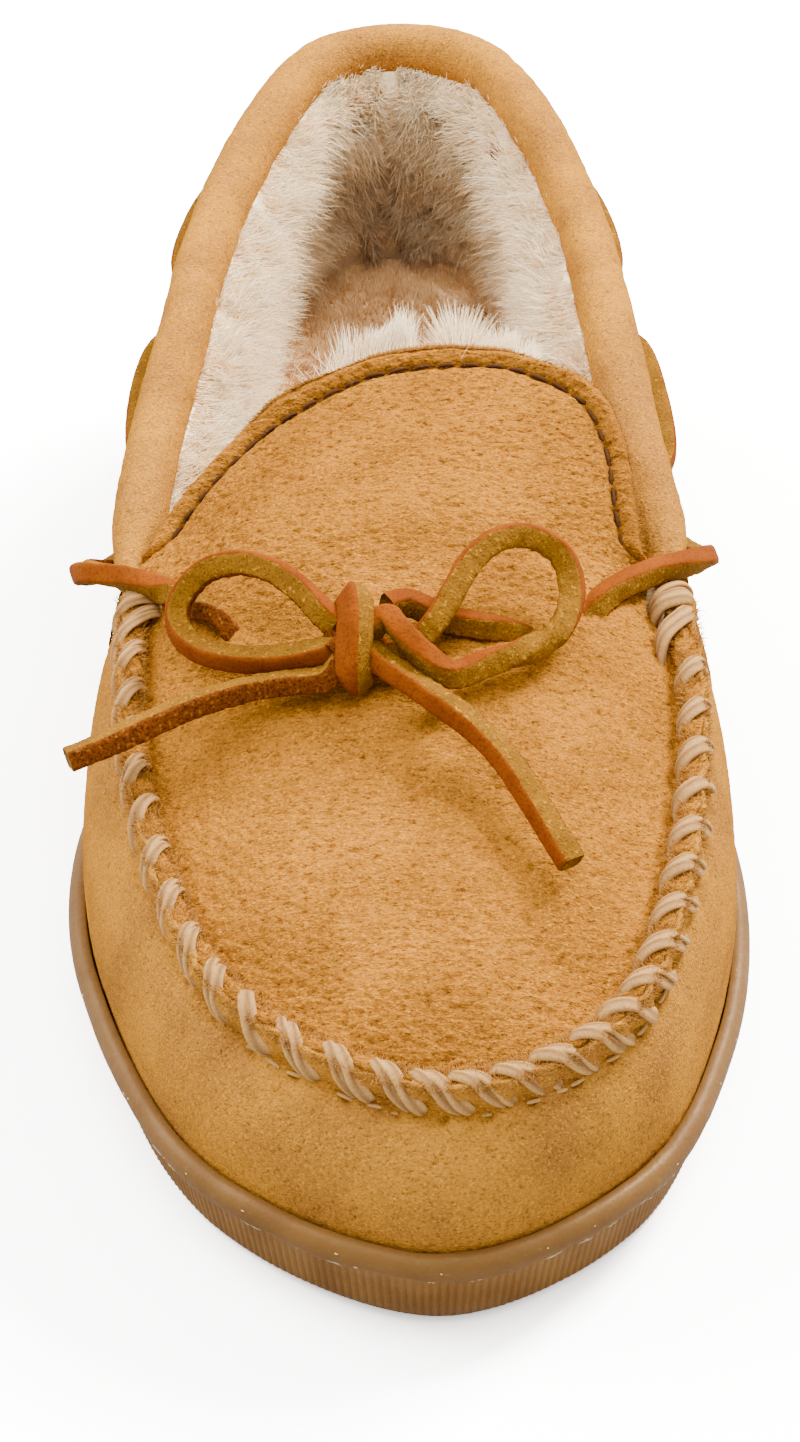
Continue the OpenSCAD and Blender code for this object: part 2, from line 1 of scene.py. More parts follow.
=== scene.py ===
"""Looks of the moccasin slipper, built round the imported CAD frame.

Shapes are worked out in millimetres, in the row frame (+X inner side, -Y toe, +Z up), and
make() turns them into metres. Stations along the shoe run from the heel centre (0) down the
outer side, round the toe (9) and back up the inner side to 18."""
import math
import bpy
import numpy as np
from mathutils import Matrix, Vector


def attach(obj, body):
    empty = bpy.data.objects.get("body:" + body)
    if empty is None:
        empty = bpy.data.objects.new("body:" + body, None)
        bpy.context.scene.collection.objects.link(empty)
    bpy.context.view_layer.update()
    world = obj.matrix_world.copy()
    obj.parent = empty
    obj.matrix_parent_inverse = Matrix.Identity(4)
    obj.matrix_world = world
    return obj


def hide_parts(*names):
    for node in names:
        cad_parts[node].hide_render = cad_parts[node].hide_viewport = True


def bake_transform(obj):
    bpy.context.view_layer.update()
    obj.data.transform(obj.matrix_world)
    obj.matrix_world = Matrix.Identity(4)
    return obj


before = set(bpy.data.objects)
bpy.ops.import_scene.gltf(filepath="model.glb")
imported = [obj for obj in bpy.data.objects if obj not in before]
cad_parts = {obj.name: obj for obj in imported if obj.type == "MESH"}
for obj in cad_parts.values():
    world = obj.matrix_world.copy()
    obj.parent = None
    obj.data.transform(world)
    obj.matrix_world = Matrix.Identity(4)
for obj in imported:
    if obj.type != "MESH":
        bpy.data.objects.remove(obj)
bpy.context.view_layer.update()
rng = np.random.default_rng(7)

MM = 0.001
SUEDE = 1.6
PILE = 3.5
GAP = 0.2
RIB_HEIGHT = 10.2
BAND_HEIGHT = 3.6
BAND_Z = RIB_HEIGHT + GAP
TOP_Z = RIB_HEIGHT + BAND_HEIGHT
SEAM_HEIGHT = 5.0
SEAT = 2.2
COLLAR_R = 4.7
LACE_W = 3.4
LACE_H = 3.9
# how far the face of the lining lies in from the outer face of the suede
LINING = SUEDE + 1.5 + PILE
# stations where the vamp, the stitched seam and the collar roll start and end
FRONT_A, FRONT_B = 5.73, 12.47
WHIP_A, WHIP_B = 6.05, 12.15
COLLAR_A, COLLAR_B = -5.42, 5.6
WHIP_COUNT = 28
WHIP_PITCH = 10.9
# stitches that show one strand where the others show two, and how far apart the two lie
SINGLE_WRAPS = (4, 9, 18, WHIP_COUNT - 4)
STRAND_GAP = 1.95
# station of the fold down the pile behind the heel
HEEL_CREASE = 0.16
# row of the apron where the tongue bends
BEND_ROW = 6.1
# the stitch line round the tongue lies this far in from its edge
TONGUE_MARGIN = 3.5
FLUTES = 485
# how far in from the sole's outline the tread and the insole end
TREAD_INSET, INSOLE_INSET = 3.2, 8.2
# heights of the insole's pile, and of the roots of the loose wool on it
INSOLE_Z, INSOLE_ROOTS = BAND_Z + 12.4, BAND_Z + 11.7
# the heavier wraps at both rear ends of the seam: station, strands, how far they lean
HEAVY_WRAPS = [(5.83, 3, 2.6), (5.98, 2, 6.0), (12.41, 3, 2.4), (12.29, 2, 6.5)]

# outline of the sole, widest of the rubber band
SOLE = [(0, 138), (-21, 130), (-31.5, 106), (-35, 72), (-38.5, 32), (-45.5, -6), (-52, -44),
        (-47.5, -79), (-29.5, -118.5), (5, -138.5), (36, -120.5), (50.5, -87), (54.5, -50),
        (48.5, -8), (39, 32), (34.5, 72), (31.5, 106), (21, 130)]
# top of the wall: middle of the collar at the rear, foot of the puckered seam at the front
TOP = [(0, 129, 70), (-15.5, 121.5, 70), (-25.5, 98, 68.5), (-33, 66, 66), (-37.5, 32, 62.5),
       (-41.5, 0, 57.5), (-43.5, -38, 50.5), (-40, -75, 44), (-25.5, -111, 37.5),
       (5, -127.5, 34.5), (32, -117, 38), (43.5, -87, 44), (46.5, -50, 50.5), (42.5, -8, 57.5),
       (36.5, 32, 62.5), (32.5, 66, 66), (25.5, 98, 68.5), (15.5, 121.5, 70)]
# how far the wall swells outwards, and at what height
SWELL = [(4, 44), (4, 44), (3.5, 42), (3.5, 40), (3.5, 38), (3, 38), (2, 38), (2, 34), (2, 30),
         (1.5, 28.5), (2, 30), (2, 34), (2, 38), (3, 38), (3.5, 38), (3.5, 40), (3.5, 42),
         (4, 44)]
# apron and tongue rows from the toe to the tongue tip:
# outer edge, inner edge, height of the arch between them, bow towards the toe
ROWS = [(-3, -126.7, 35, 13, -126.8, 35.2, 0.5, 0.3),
        (-21, -114, 37.2, 28, -119.7, 37.2, 4.5, 2.5),
        (-32, -98, 40, 38, -103.5, 40.8, 8, 3.5),
        (-38.5, -80, 43.5, 43.8, -82, 44.8, 10.5, 2),
        (-42.5, -58, 47, 46, -60, 48.8, 13, 0),
        (-43.5, -40, 50, 45.5, -44, 51.5, 15, 0),
        (-41.5, -27, 54.5, 38, -33, 57.5, 14.5, -1),
        (-35, -15, 62, 35.5, -22, 66.5, 9, -2.5),
        (-25, -4, 69, 33.5, -9, 73, 5, -4),
        (-15, 2.5, 74.5, 27, 1, 77.5, 2, -4),
        (-5, 6.5, 77.5, 18, 6.2, 79, 0.5, -1)]

# lace routes, the same as the CAD part's
LACE_COLLAR = [(-8.5, -55.5, 58.5), (-13, -52.5, 58), (-19, -49, 56.5), (-24, -45.5, 56),
               (-28, -42.5, 59.5), (-32, -38.9, 59.9), (-37.5, -33.5, 59.2), (-43.5, -28.5, 58),
               (-49.3, -24, 56), (-50.8, -19, 52.6), (-46.8, -13.2, 49.3), (-42.2, -6.5, 49.2),
               (-41.4, 1, 50), (-41, 8, 51.5), (-44, 16, 53.5), (-44, 30, 55.5), (-41.5, 42, 57),
               (-36, 50, 57), (-34.5, 58, 57.5), (-38.5, 66, 59.5), (-36, 82, 61),
               (-31, 94, 61.5), (-24, 98, 61), (-18.5, 105, 61.5), (-21.5, 117, 62.5),
               (-15.5, 128, 62.5), (0, 135, 62.5), (15.5, 128, 62.5), (21.5, 117, 62.5),
               (18.5, 105, 61.5), (24, 98, 61), (31, 94, 61.5), (35.5, 82, 61), (37.5, 66, 59.5),
               (33.5, 58, 57.5), (35, 50, 57), (41, 42, 57), (43.5, 30, 55.5), (44.5, 16, 53.5),
               (42, 8, 51.5), (42.4, 1.5, 50.3), (43.6, -5, 50), (47.6, -12.5, 51.5),
               (49, -19, 55.5), (46, -25, 58.6), (39, -31, 60.6), (32.5, -37.5, 61.2),
               (28.5, -41.5, 58.8), (24.5, -44.5, 57.8), (20.5, -47.2, 59), (16.8, -49.2, 62.5),
               (11.5, -50.9, 64.8), (6.5, -50.6, 66), (1.5, -49.6, 68), (-2.2, -52, 69)]
LOOP_LEFT = [(-11.8, -54, 69.4), (-13.8, -51.7, 70.4), (-16.6, -48.5, 71.1), (-20, -45.3, 71.3),
             (-24.5, -42.6, 70.6), (-29.1, -41.1, 68.6), (-32.4, -41.3, 65.6),
             (-34.3, -43.4, 62.6), (-33.6, -47.2, 60.6), (-30.2, -51.3, 60.2),
             (-24.7, -54.5, 61), (-18.5, -56.6, 62.6), (-12.5, -58.2, 65)]
LOOP_RIGHT = [(-1.8, -56.4, 70), (0.5, -60, 69.6), (3.8, -63.3, 67.8), (7, -64.6, 65.6),
              (9.8, -62.8, 64.6), (13.1, -60.2, 64.4), (17.5, -58.2, 64.6), (21.7, -55.7, 65),
              (24.7, -52, 65.6), (26.3, -47.4, 67), (26.1, -43.6, 69.2), (24.3, -41.1, 71.6),
              (21.2, -40.5, 73.6), (17.6, -41.5, 75), (13.9, -43.7, 75), (10.6, -47, 73.6),
              (8, -51.3, 71.2), (5.4, -54.9, 68.4), (1.8, -57, 65.2), (-1.8, -57.9, 64.2)]
TAIL_LEFT = [(-11.3, -62.1, 62.8), (-16.6, -61.4, 61.6), (-22.7, -61.4, 60.4),
             (-28.1, -62.5, 59.4), (-33.5, -64.8, 58.6), (-38.9, -67.8, 57.8), (-44.3, -71, 57),
             (-49.6, -73.4, 56)]
TAIL_RIGHT = [(-2.4, -62.4, 65.8), (0, -64.9, 65.7), (4.5, -68.9, 64.8), (10.4, -73.5, 62.8),
              (15.5, -78.9, 60.5), (19.1, -84.6, 58), (22.4, -90.2, 55.4), (25, -94.3, 53)]
KNOT = (-7, -57, 66.5)
# stations of the slits that the lace goes through on each side
SLITS = (4.85, 4.5, 3.55, 3.2, 2.15, 1.65)
# station along the run, then the way its finished face looks there
RUN_GRAIN = [(0, 0.1, 0.5, -0.85), (4, 0.1, 0.5, -0.85), (5.2, 0.3, 0.95, 0.1),
             (6.2, 0, -0.4, 0.9), (7.5, 0, -0.8, 0.6), (9, -0.6, -0.8, 0.3), (10.5, -1, -0.3, 0),
             (14, -1, 0, 0), (22, -0.8, 0.8, 0), (25.5, 0, 1, 0), (29, 0.8, 0.8, 0),
             (38, 1, 0, 0), (42, 1, -0.2, 0), (43.5, 0.7, 0, 0.7), (45, 0, 0.05, 1),
             (46.5, 0, 0.5, 0.85), (48, 0, 0.5, 0.85), (50, -0.1, 0.3, 0.9), (54, 0, -0.2, 1)]


# ---- camera --------------------------------------------------------------------------------
def add_camera():
    """Viewpoint above and in front of the toe, looking down on the shoe."""
    looks_down = 36.66
    data = bpy.data.cameras.new("camera")
    data.sensor_fit = "VERTICAL"
    data.sensor_height = 36
    data.lens = 99.86
    data.clip_start, data.clip_end = 0.01, 20
    camera = bpy.data.objects.new("camera", data)
    camera.location = (0, -0.54922, 0.41745)
    camera.rotation_euler = (math.radians(90 - looks_down), 0, 0)
    bpy.context.scene.collection.objects.link(camera)
    bpy.context.scene.camera = camera


# ---- curves and surfaces ------------------------------------------------------------------
def span(a, b, c, d, t):
    """Smooth curve from b to c, with a before and d after."""
    return 0.5 * (2 * b + (c - a) * t + (2 * a - 5 * b + 4 * c - d) * t * t
                  + (3 * b - a - 3 * c + d) * t * t * t)


def closed(table, s):
    """Place on the closed smooth curve through a table of points."""
    p, s = np.array(table, float), np.asarray(s, float)
    m = len(p)
    k = s % m
    i = np.floor(k).astype(int)
    return span(p[(i - 1) % m], p[i % m], p[(i + 1) % m], p[(i + 2) % m], (k - i)[..., None])


def along(table, s):
    """Place on the open smooth curve through a table of points."""
    p, s = np.array(table, float), np.asarray(s, float)
    m = len(p)
    i = np.clip(np.floor(s).astype(int), 0, m - 2)
    return span(p[np.maximum(i - 1, 0)], p[i], p[i + 1], p[np.minimum(i + 2, m - 1)],
                (s - i)[..., None])


def unit(v):
    return v / np.maximum(np.linalg.norm(v, axis=-1, keepdims=True), 1e-9)


def mix(a, b, t):
    return a + (b - a) * t


def ramp(x, a, b):
    """0 below a, 1 above b, smooth between."""
    t = np.clip((x - a) / (b - a), 0, 1)
    return t * t * (3 - 2 * t)


def out_at(s):
    """Level direction out from the sole's outline."""
    d = closed(SOLE, s + 0.02) - closed(SOLE, s - 0.02)
    return unit(np.stack([d[..., 1], -d[..., 0]], -1))


def edge(s, inset):
    """Point of the sole's outline, moved in by an inset."""
    return closed(SOLE, s) - out_at(s) * np.asarray(inset)[..., None]


def lift(y):
    """How far the toe spring lifts the sole at y."""
    return 1.8 * np.maximum(0, (-60 - y) / 78) ** 2


def at_height(p, z):
    """Points of the plane at a height, or at a height each."""
    return np.concatenate([p, np.broadcast_to(z, p.shape[:-1])[..., None]], -1)


def flat3(v):
    """A level direction from one in the plane."""
    return at_height(v, 0.0)


def wall_p(s, t):
    """Point of the upper's outer face, from the sole (t 0) to its top (t 1)."""
    s, t = np.broadcast_arrays(np.asarray(s, float), np.asarray(t, float))
    foot = edge(s, SEAT)
    foot = at_height(foot, TOP_Z - 0.6 + lift(foot[..., 1]))
    swell = closed(SWELL, s)
    middle = np.concatenate([edge(s, SEAT - swell[..., 0]), swell[..., 1:]], -1)
    t = t[..., None]
    return (1 - t) ** 2 * foot + 2 * t * (1 - t) * middle + t * t * closed(TOP, s)


def wall_n(s, t):
    """Outward direction of the upper's face."""
    u = wall_p(s + 0.03, t) - wall_p(s - 0.03, t)
    v = wall_p(s, np.minimum(t + 0.02, 1)) - wall_p(s, np.maximum(t - 0.02, 0))
    return unit(np.cross(u, v))


def wall_at(s, t, out):
    """A point out from the wall, or inside it where out is negative."""
    return wall_p(s, t) + wall_n(s, t) * np.asarray(out)[..., None]


def under_collar(s):
    """Highest t that stays clear of the collar roll."""
    up = closed(TOP, s) - np.concatenate([edge(s, SEAT - closed(SWELL, s)[..., 0]),
                                          closed(SWELL, s)[..., 1:]], -1)
    return 1 - (COLLAR_R + 0.2) / (2 * np.linalg.norm(up, axis=-1))


def apron_p(u, v):
    """Point of the apron or tongue, from its outer side (u -1) to its inner one (u 1)."""
    u, v = np.broadcast_arrays(np.asarray(u, float), np.asarray(v, float))
    r = along(ROWS, v)
    c = 1 - u * u
    p = (r[..., 0:3] * (1 - u[..., None]) + r[..., 3:6] * (1 + u[..., None])) / 2
    p[..., 1] -= r[..., 7] * c
    p[..., 2] += r[..., 6] * c
    return p


def apron_n(u, v):
    """Upward direction of the apron, held off both ends of its rows."""
    v = np.clip(v, 0.3, 9.8)
    du = apron_p(u + 0.02, v) - apron_p(u - 0.02, v)
    dv = apron_p(u, v + 0.04) - apron_p(u, v - 0.04)
    return unit(np.cross(du, dv))


def half_row(v):
    """Half the width of an apron row."""
    r = along(ROWS, v)
    return np.linalg.norm(r[..., 3:5] - r[..., 0:2], axis=-1) / 2


def noise(p, size, seed=0):
    """Smooth random field from -1 to 1, whose lumps are about size across."""
    q = p / np.asarray(size, float) + 1000.5
    i = np.floor(q).astype(np.int64)
    f = q - i
    f = f * f * (3 - 2 * f)
    total = 0
    for corner in range(8):
        d = np.array([corner & 1, corner >> 1 & 1, corner >> 2])
        c = i + d
        h = c[..., 0] * 73856093 ^ c[..., 1] * 19349663 ^ c[..., 2] * 83492791 ^ seed * 2654435
        h = (h ^ h >> 13) * 1274126177 & 0x7FFFFFFF
        h = (h ^ h >> 15) * 1911520717 & 0x7FFFFFFF
        w = np.prod(np.where(d == 1, f, 1 - f), axis=-1)
        total = total + w * ((h >> 8 & 0xFFFF) / 32767.5 - 1)
    return total


def rough(p, size, seed=0, octaves=3):
    """Noise with finer noise on it."""
    return sum(noise(p, np.asarray(size, float) / 2 ** k, seed + k) / 2 ** k
               for k in range(octaves))


# ---- meshes --------------------------------------------------------------------------------
def make(name, points, faces, materials, body="root", values=None, choice=None, smooth=True):
    """A mesh from points in millimetres and arrays of quads or triangles. values are named
    numbers for each point, and choice is each face's material."""
    groups = [faces] if isinstance(faces, np.ndarray) else faces
    me = bpy.data.meshes.new(name)
    me.vertices.add(len(points))
    me.vertices.foreach_set("co", (points * MM).astype(np.float32).ravel())
    loops = np.concatenate([g.ravel() for g in groups]).astype(np.int32)
    sizes = np.concatenate([np.full(len(g), g.shape[1]) for g in groups])
    me.loops.add(len(loops))
    me.loops.foreach_set("vertex_index", loops)
    me.polygons.add(len(sizes))
    me.polygons.foreach_set("loop_start",
                            np.concatenate([[0], np.cumsum(sizes)[:-1]]).astype(np.int32))
    for m in materials if isinstance(materials, (list, tuple)) else [materials]:
        me.materials.append(m)
    if choice is not None:
        me.polygons.foreach_set("material_index", choice.astype(np.int32))
    me.update(calc_edges=True)
    me.shade_smooth() if smooth else me.shade_flat()
    for key, numbers in (values or {}).items():
        layer = me.attributes.new(key, "FLOAT", "POINT")
        layer.data.foreach_set("value", np.asarray(numbers, np.float32).ravel())
    ob = bpy.data.objects.new(name, me)
    bpy.context.scene.collection.objects.link(ob)
    if body:
        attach(ob, body)
    return ob


def grid(n, m, loop_n=False, loop_m=False, start=0):
    """Quads of a grid of points stored [n][m]."""
    i = np.arange(n if loop_n else n - 1)[:, None]
    j = np.arange(m if loop_m else m - 1)[None]
    i2, j2 = (i + 1) % n, (j + 1) % m
    a, b, c, d = np.broadcast_arrays(i * m + j, i2 * m + j, i2 * m + j2, i * m + j2)
    return np.stack([a, b, c, d], -1).reshape(-1, 4) + start


def slab(outer, inner, loop=False):
    """Closed piece between an outer and an inner grid of points."""
    n, m = outer.shape[:2]
    k = n * m
    points = np.concatenate([outer.reshape(-1, 3), inner.reshape(-1, 3)])
    faces = [grid(n, m, loop), grid(n, m, loop)[:, ::-1] + k]
    a = np.arange(n if loop else n - 1) * m
    b = (a + m) % k
    faces.append(np.stack([b, a, k + a, k + b], -1))
    faces.append(np.stack([a, b, k + b, k + a], -1) + m - 1)
    if not loop:
        c = np.arange(m - 1)
        faces.append(np.stack([c, c + 1, k + c + 1, k + c], -1))
        c = c + k - m
        faces.append(np.stack([c + 1, c, k + c, k + c + 1], -1))
    return points, np.concatenate(faces)


def sweep(line, sections, up, closed_ends=True):
    """Tube of sections [n][k][2] (side, up) along a line, with its ends closed."""
    d = unit(np.gradient(line, axis=0))
    up = unit(up - d * (up * d).sum(-1, keepdims=True))
    side = np.cross(d, up)
    n, k = sections.shape[:2]
    rings = (line[:, None] + side[:, None] * sections[..., :1] + up[:, None] * sections[..., 1:])
    points = rings.reshape(-1, 3)
    faces = [grid(n, k, False, True)]
    if closed_ends:
        points = np.concatenate([points, rings[:1].mean(1), rings[-1:].mean(1)])
        j = np.arange(k)
        faces.append(np.stack([np.full(k, n * k), (j + 1) % k, j], -1))
        faces.append(np.stack([np.full(k, n * k + 1), j + (n - 1) * k, (j + 1) % k + (n - 1) * k],
                              -1))
    return points, faces


def join(parts):
    """Many (points, faces) pieces as one, faces grouped by their number of corners."""
    points, groups, start = [], {}, 0
    for p, fs in parts:
        for f in [fs] if isinstance(fs, np.ndarray) else fs:
            groups.setdefault(f.shape[1], []).append(f + start)
        points.append(p)
        start += len(p)
    return np.concatenate(points), [np.concatenate(g) for g in groups.values()]


# ---- materials -----------------------------------------------------------------------------
def linear(rgb):
    """Screen colour 0-255 to linear light."""
    c = np.array(rgb, float) / 255
    return tuple(np.where(c <= 0.04045, c / 12.92, ((c + 0.055) / 1.055) ** 2.4)) + (1.0,)


class Nodes:
    """Builds a material's node tree in few words."""

    def __init__(self, name):
        self.material = bpy.data.materials.new(name)
        self.material.use_nodes = True
        self.tree = self.material.node_tree
        self.shader = self.tree.nodes["Principled BSDF"]
        self.place = self.tree.nodes.new("ShaderNodeTexCoord").outputs["Object"]

    def link(self, a, b):
        self.tree.links.new(a, b)

    def put(self, socket, value):
        if isinstance(value, bpy.types.NodeSocket):
            self.link(value, socket)
        else:
            socket.default_value = value

    def set(self, **values):
        for key, value in values.items():
            self.put(self.shader.inputs[key.replace("_", " ")], value)

    def noise(self, size_mm, detail=2.0, stretch=(1, 1, 1), roughness=0.5):
        """Noise whose lumps are about size_mm, from 0 to 1."""
        mapping = self.tree.nodes.new("ShaderNodeMapping")
        self.link(self.place, mapping.inputs["Vector"])
        mapping.inputs["Scale"].default_value = [1 / (size_mm * MM * k) for k in stretch]
        n = self.tree.nodes.new("ShaderNodeTexNoise")
        n.inputs["Scale"].default_value = 1.0
        n.inputs["Detail"].default_value = detail
        n.inputs["Roughness"].default_value = roughness
        self.link(mapping.outputs[0], n.inputs["Vector"])
        return n.outputs["Fac"]

    def value(self, name):
        n = self.tree.nodes.new("ShaderNodeAttribute")
        n.attribute_name = name
        return n.outputs["Fac"]

    def math(self, kind, a, b=0.0, c=None):
        n = self.tree.nodes.new("ShaderNodeMath")
        n.operation = kind
        self.put(n.inputs[0], a)
        self.put(n.inputs[1], b)
        if c is not None:
            self.put(n.inputs[2], c)
        return n.outputs[0]

    def span(self, x, low, high, a=0.0, b=1.0):
        """x from low..high to a..b, held at both ends."""
        n = self.tree.nodes.new("ShaderNodeMapRange")
        self.put(n.inputs["Value"], x)
        for key, v in zip(("From Min", "From Max", "To Min", "To Max"), (low, high, a, b)):
            self.put(n.inputs[key], v)
        return n.outputs[0]

    def mix(self, share, a, b, kind="MIX"):
        n = self.tree.nodes.new("ShaderNodeMix")
        n.data_type = "RGBA"
        n.blend_type = kind
        self.put(n.inputs[0], share)
        self.put(n.inputs[6], a)
        self.put(n.inputs[7], b)
        return n.outputs[2]

    def bump(self, *layers):
        """layers are (height, depth in mm)."""
        normal = None
        for height, depth in layers:
            n = self.tree.nodes.new("ShaderNodeBump")
            n.inputs["Distance"].default_value = depth * MM
            self.put(n.inputs["Height"], height)
            if normal is not None:
                self.link(normal, n.inputs["Normal"])
            normal = n.outputs[0]
        self.link(normal, self.shader.inputs["Normal"])


def suede(name, dark, low, high, crease=0.5, nap=0.5, grit=0.4):
    """Brushed suede: painted shade in short creases across the nap and in its pits, and painted
    highlights on the fibre tips.
    """
    n = Nodes(name)
    blotch = n.noise(14, 3.0)
    lines = n.noise(0.5, 3.0, (2.4, 1, 1), 0.6)
    fine = n.noise(0.36, 2.0, (1.3, 1, 1), 0.7)
    tip = n.mix(n.span(blotch, 0.35, 0.65), linear(low), linear(high))
    # painted highlight on the lit fibre tips
    tip = n.mix(n.span(fine, 0.56, 0.7, 0.0, grit), tip, linear((226, 160, 60)))
    # painted shade: darker in the creases, in the lows of the fine grain and where the pit
    # attribute is set
    pit = n.math("MULTIPLY", n.span(lines, 0.52, 0.3), crease)
    pit = n.math("ADD", pit, n.math("MULTIPLY", n.span(fine, 0.44, 0.32), grit))
    pit = n.math("ADD", pit, n.math("MULTIPLY", n.value("pit"), nap))
    n.set(Base_Color=n.mix(n.math("MINIMUM", pit, 1.0), tip, linear(dark)), Roughness=1.0,
          Sheen_Weight=0.05, Sheen_Roughness=0.5, Sheen_Tint=linear((235, 140, 30)),
          Specular_IOR_Level=0.0)
    pebble = n.noise(1.0, 2.0, (1.7, 1, 1), 0.5)
    n.bump((lines, 0.5 * crease), (fine, 0.35), (pebble, 0.6 * crease))
    return n.material


def pile_material(name, light, dark, fibre=0.35):
    """Wool pile: paler at the tips, with painted shade down between the locks and a painted brown
    shade where the shade attribute is set.
    """
    n = Nodes(name)
    lock, fine = n.noise(5, 2.0), n.noise(fibre, 2.0, (1, 1, 3))
    base = n.mix(n.span(lock, 0.3, 0.7), linear(dark), linear(light))
    base = n.mix(n.span(fine, 0.3, 0.7, 0.3, 0), base, linear(light))
    # painted shade towards the fibres' roots and in the lining's hollows
    base = n.mix(n.value("deep"), base, n.mix(0.25, base, linear(dark), "MULTIPLY"))
    # painted brown shade where the shade attribute is set
    base = n.mix(n.value("shade"), base, linear((128, 88, 46)))
    n.set(Base_Color=base, Roughness=0.9, Sheen_Weight=0.1, Specular_IOR_Level=0.15,
          Sheen_Tint=linear((255, 230, 190)), Specular_Tint=linear((255, 225, 180)))
    n.bump((fine, 0.25))
    return n.material


def rubber(name, colour, deep, gloss=0.42):
    """Natural gum rubber, slightly cloudy, with a matt bloom in patches."""
    n = Nodes(name)
    cloud, speck = n.noise(9, 3.0), n.noise(0.6, 2.0)
    base = n.mix(n.span(cloud, 0.3, 0.7), linear(colour), linear(deep))
    base = n.mix(n.span(speck, 0.62, 0.75, 0, 0.25), base, linear((140, 105, 62)))
    base = n.mix(n.math("MULTIPLY", n.value("pale"), 0.6), base, linear((112, 90, 70)))
    n.set(Base_Color=base, Roughness=n.span(cloud, 0.3, 0.7, gloss, gloss + 0.15),
          Subsurface_Weight=0.15, Subsurface_Scale=0.003, Specular_IOR_Level=0.25,
          Specular_Tint=linear((255, 225, 180)))
    n.bump((n.noise(1.6, 3.0), 0.15), (speck, 0.05))
    return n.material


def thread_material(name, colour, dark, gloss=0.75):
    """Spun thread: pale, with painted shade in the grooves between its fibres."""
    n = Nodes(name)
    fine, speck = n.noise(0.35, 3.0), n.noise(1.3, 2.0)
    base = n.mix(n.span(fine, 0.35, 0.65, 0.65, 1), linear(dark), linear(colour))
    # painted shade in the grooves between the plies
    base = n.mix(n.math("MULTIPLY", n.value("groove"), 0.9), base, linear(dark))
    base = n.mix(n.span(speck, 0.66, 0.74, 0, 0.3), base, linear((150, 105, 60)))
    n.set(Base_Color=base, Roughness=gloss, Specular_IOR_Level=0.08)
    n.bump((fine, 0.08))
    return n.material


def plain(name, colour, rough_value=0.8, size=1.5, change=0.15):
    """Foam, board and tape: one colour with a small grain."""
    n = Nodes(name)
    grain = n.noise(size, 3.0)
    darker = tuple(c * (1 - change * 2) for c in linear(colour)[:3]) + (1.0,)
    n.set(Base_Color=n.mix(n.span(grain, 0.3, 0.7), linear(colour), darker),
          Roughness=rough_value)
    n.bump((grain, 0.2))
    return n.material


def lace_grain(name):
    """Outer, finished face of the rawhide lace: orange red and finely pebbled."""
    n = Nodes(name)
    pebble, cloud = n.noise(0.5, 3.0), n.noise(6, 2.0)
    base = n.mix(n.span(cloud, 0.3, 0.7), linear((122, 60, 9)), linear((102, 47, 7)))
    base = n.mix(n.span(pebble, 0.5, 0.32, 0, 0.5), base, linear((72, 26, 8)))
    n.set(Base_Color=base, Roughness=0.7, Specular_IOR_Level=0.05,
          Specular_Tint=linear((255, 160, 90)))
    n.bump((pebble, 0.16))
    return n.material


def lace_back(name):
    """Rough back of the lace, where the dye has soaked in, darkened further with painted shade, as
    this face is mostly seen in shadow.
    """
    n = Nodes(name)
    grit, speck = n.noise(0.45, 3.0, (1, 1, 1), 0.7), n.noise(0.8, 2.0)
    base = n.mix(n.span(grit, 0.55, 0.35), linear((104, 52, 12)), linear((50, 22, 6)))
    base = n.mix(n.span(speck, 0.58, 0.7, 0, 0.6), base, linear((150, 96, 30)))
    n.set(Base_Color=base, Roughness=0.85, Specular_IOR_Level=0.1,
          Specular_Tint=linear((255, 190, 110)))
    n.bump((grit, 0.3))
    return n.material


def lace_cut(name):
    """Cut faces of the rawhide lace: golden olive and gritty."""
    n = Nodes(name)
    grit, speck, cloud = n.noise(0.4, 3.0, (1, 1, 1), 0.7), n.noise(0.8, 2.0), n.noise(5, 2.0)
    base = n.mix(n.span(cloud, 0.3, 0.7), linear((130, 86, 14)), linear((108, 70, 12)))
    base = n.mix(n.span(grit, 0.5, 0.3, 0, 0.75), base, linear((56, 34, 8)))
    base = n.mix(n.span(speck, 0.6, 0.72, 0, 0.5), base, linear((190, 138, 36)))
    n.set(Base_Color=base, Roughness=0.85, Specular_IOR_Level=0.1,
          Specular_Tint=linear((255, 220, 140)))
    n.bump((grit, 0.28), (speck, 0.15))
    return n.material


# ---- lace ----------------------------------------------------------------------------------
def soft_square(k, w, h, power):
    """Angles and points round a square section; a smaller power makes crisper corners."""
    a = np.arange(k) * 2 * np.pi / k + np.pi / k
    c, d = np.cos(a), np.sin(a)
    return a, np.stack([np.sign(c) * abs(c) ** power * w / 2,
                        np.sign(d) * abs(d) ** power * h / 2], -1)


def which_face(a):
    """Material of each facet round the lace: 0 finished face, 1 cut sides, 2 rough back."""
    high = np.sin(np.roll(a, -1) - np.pi / len(a))
    return np.where(high > 0.62, 0, np.where(high < -0.62, 2, 1))


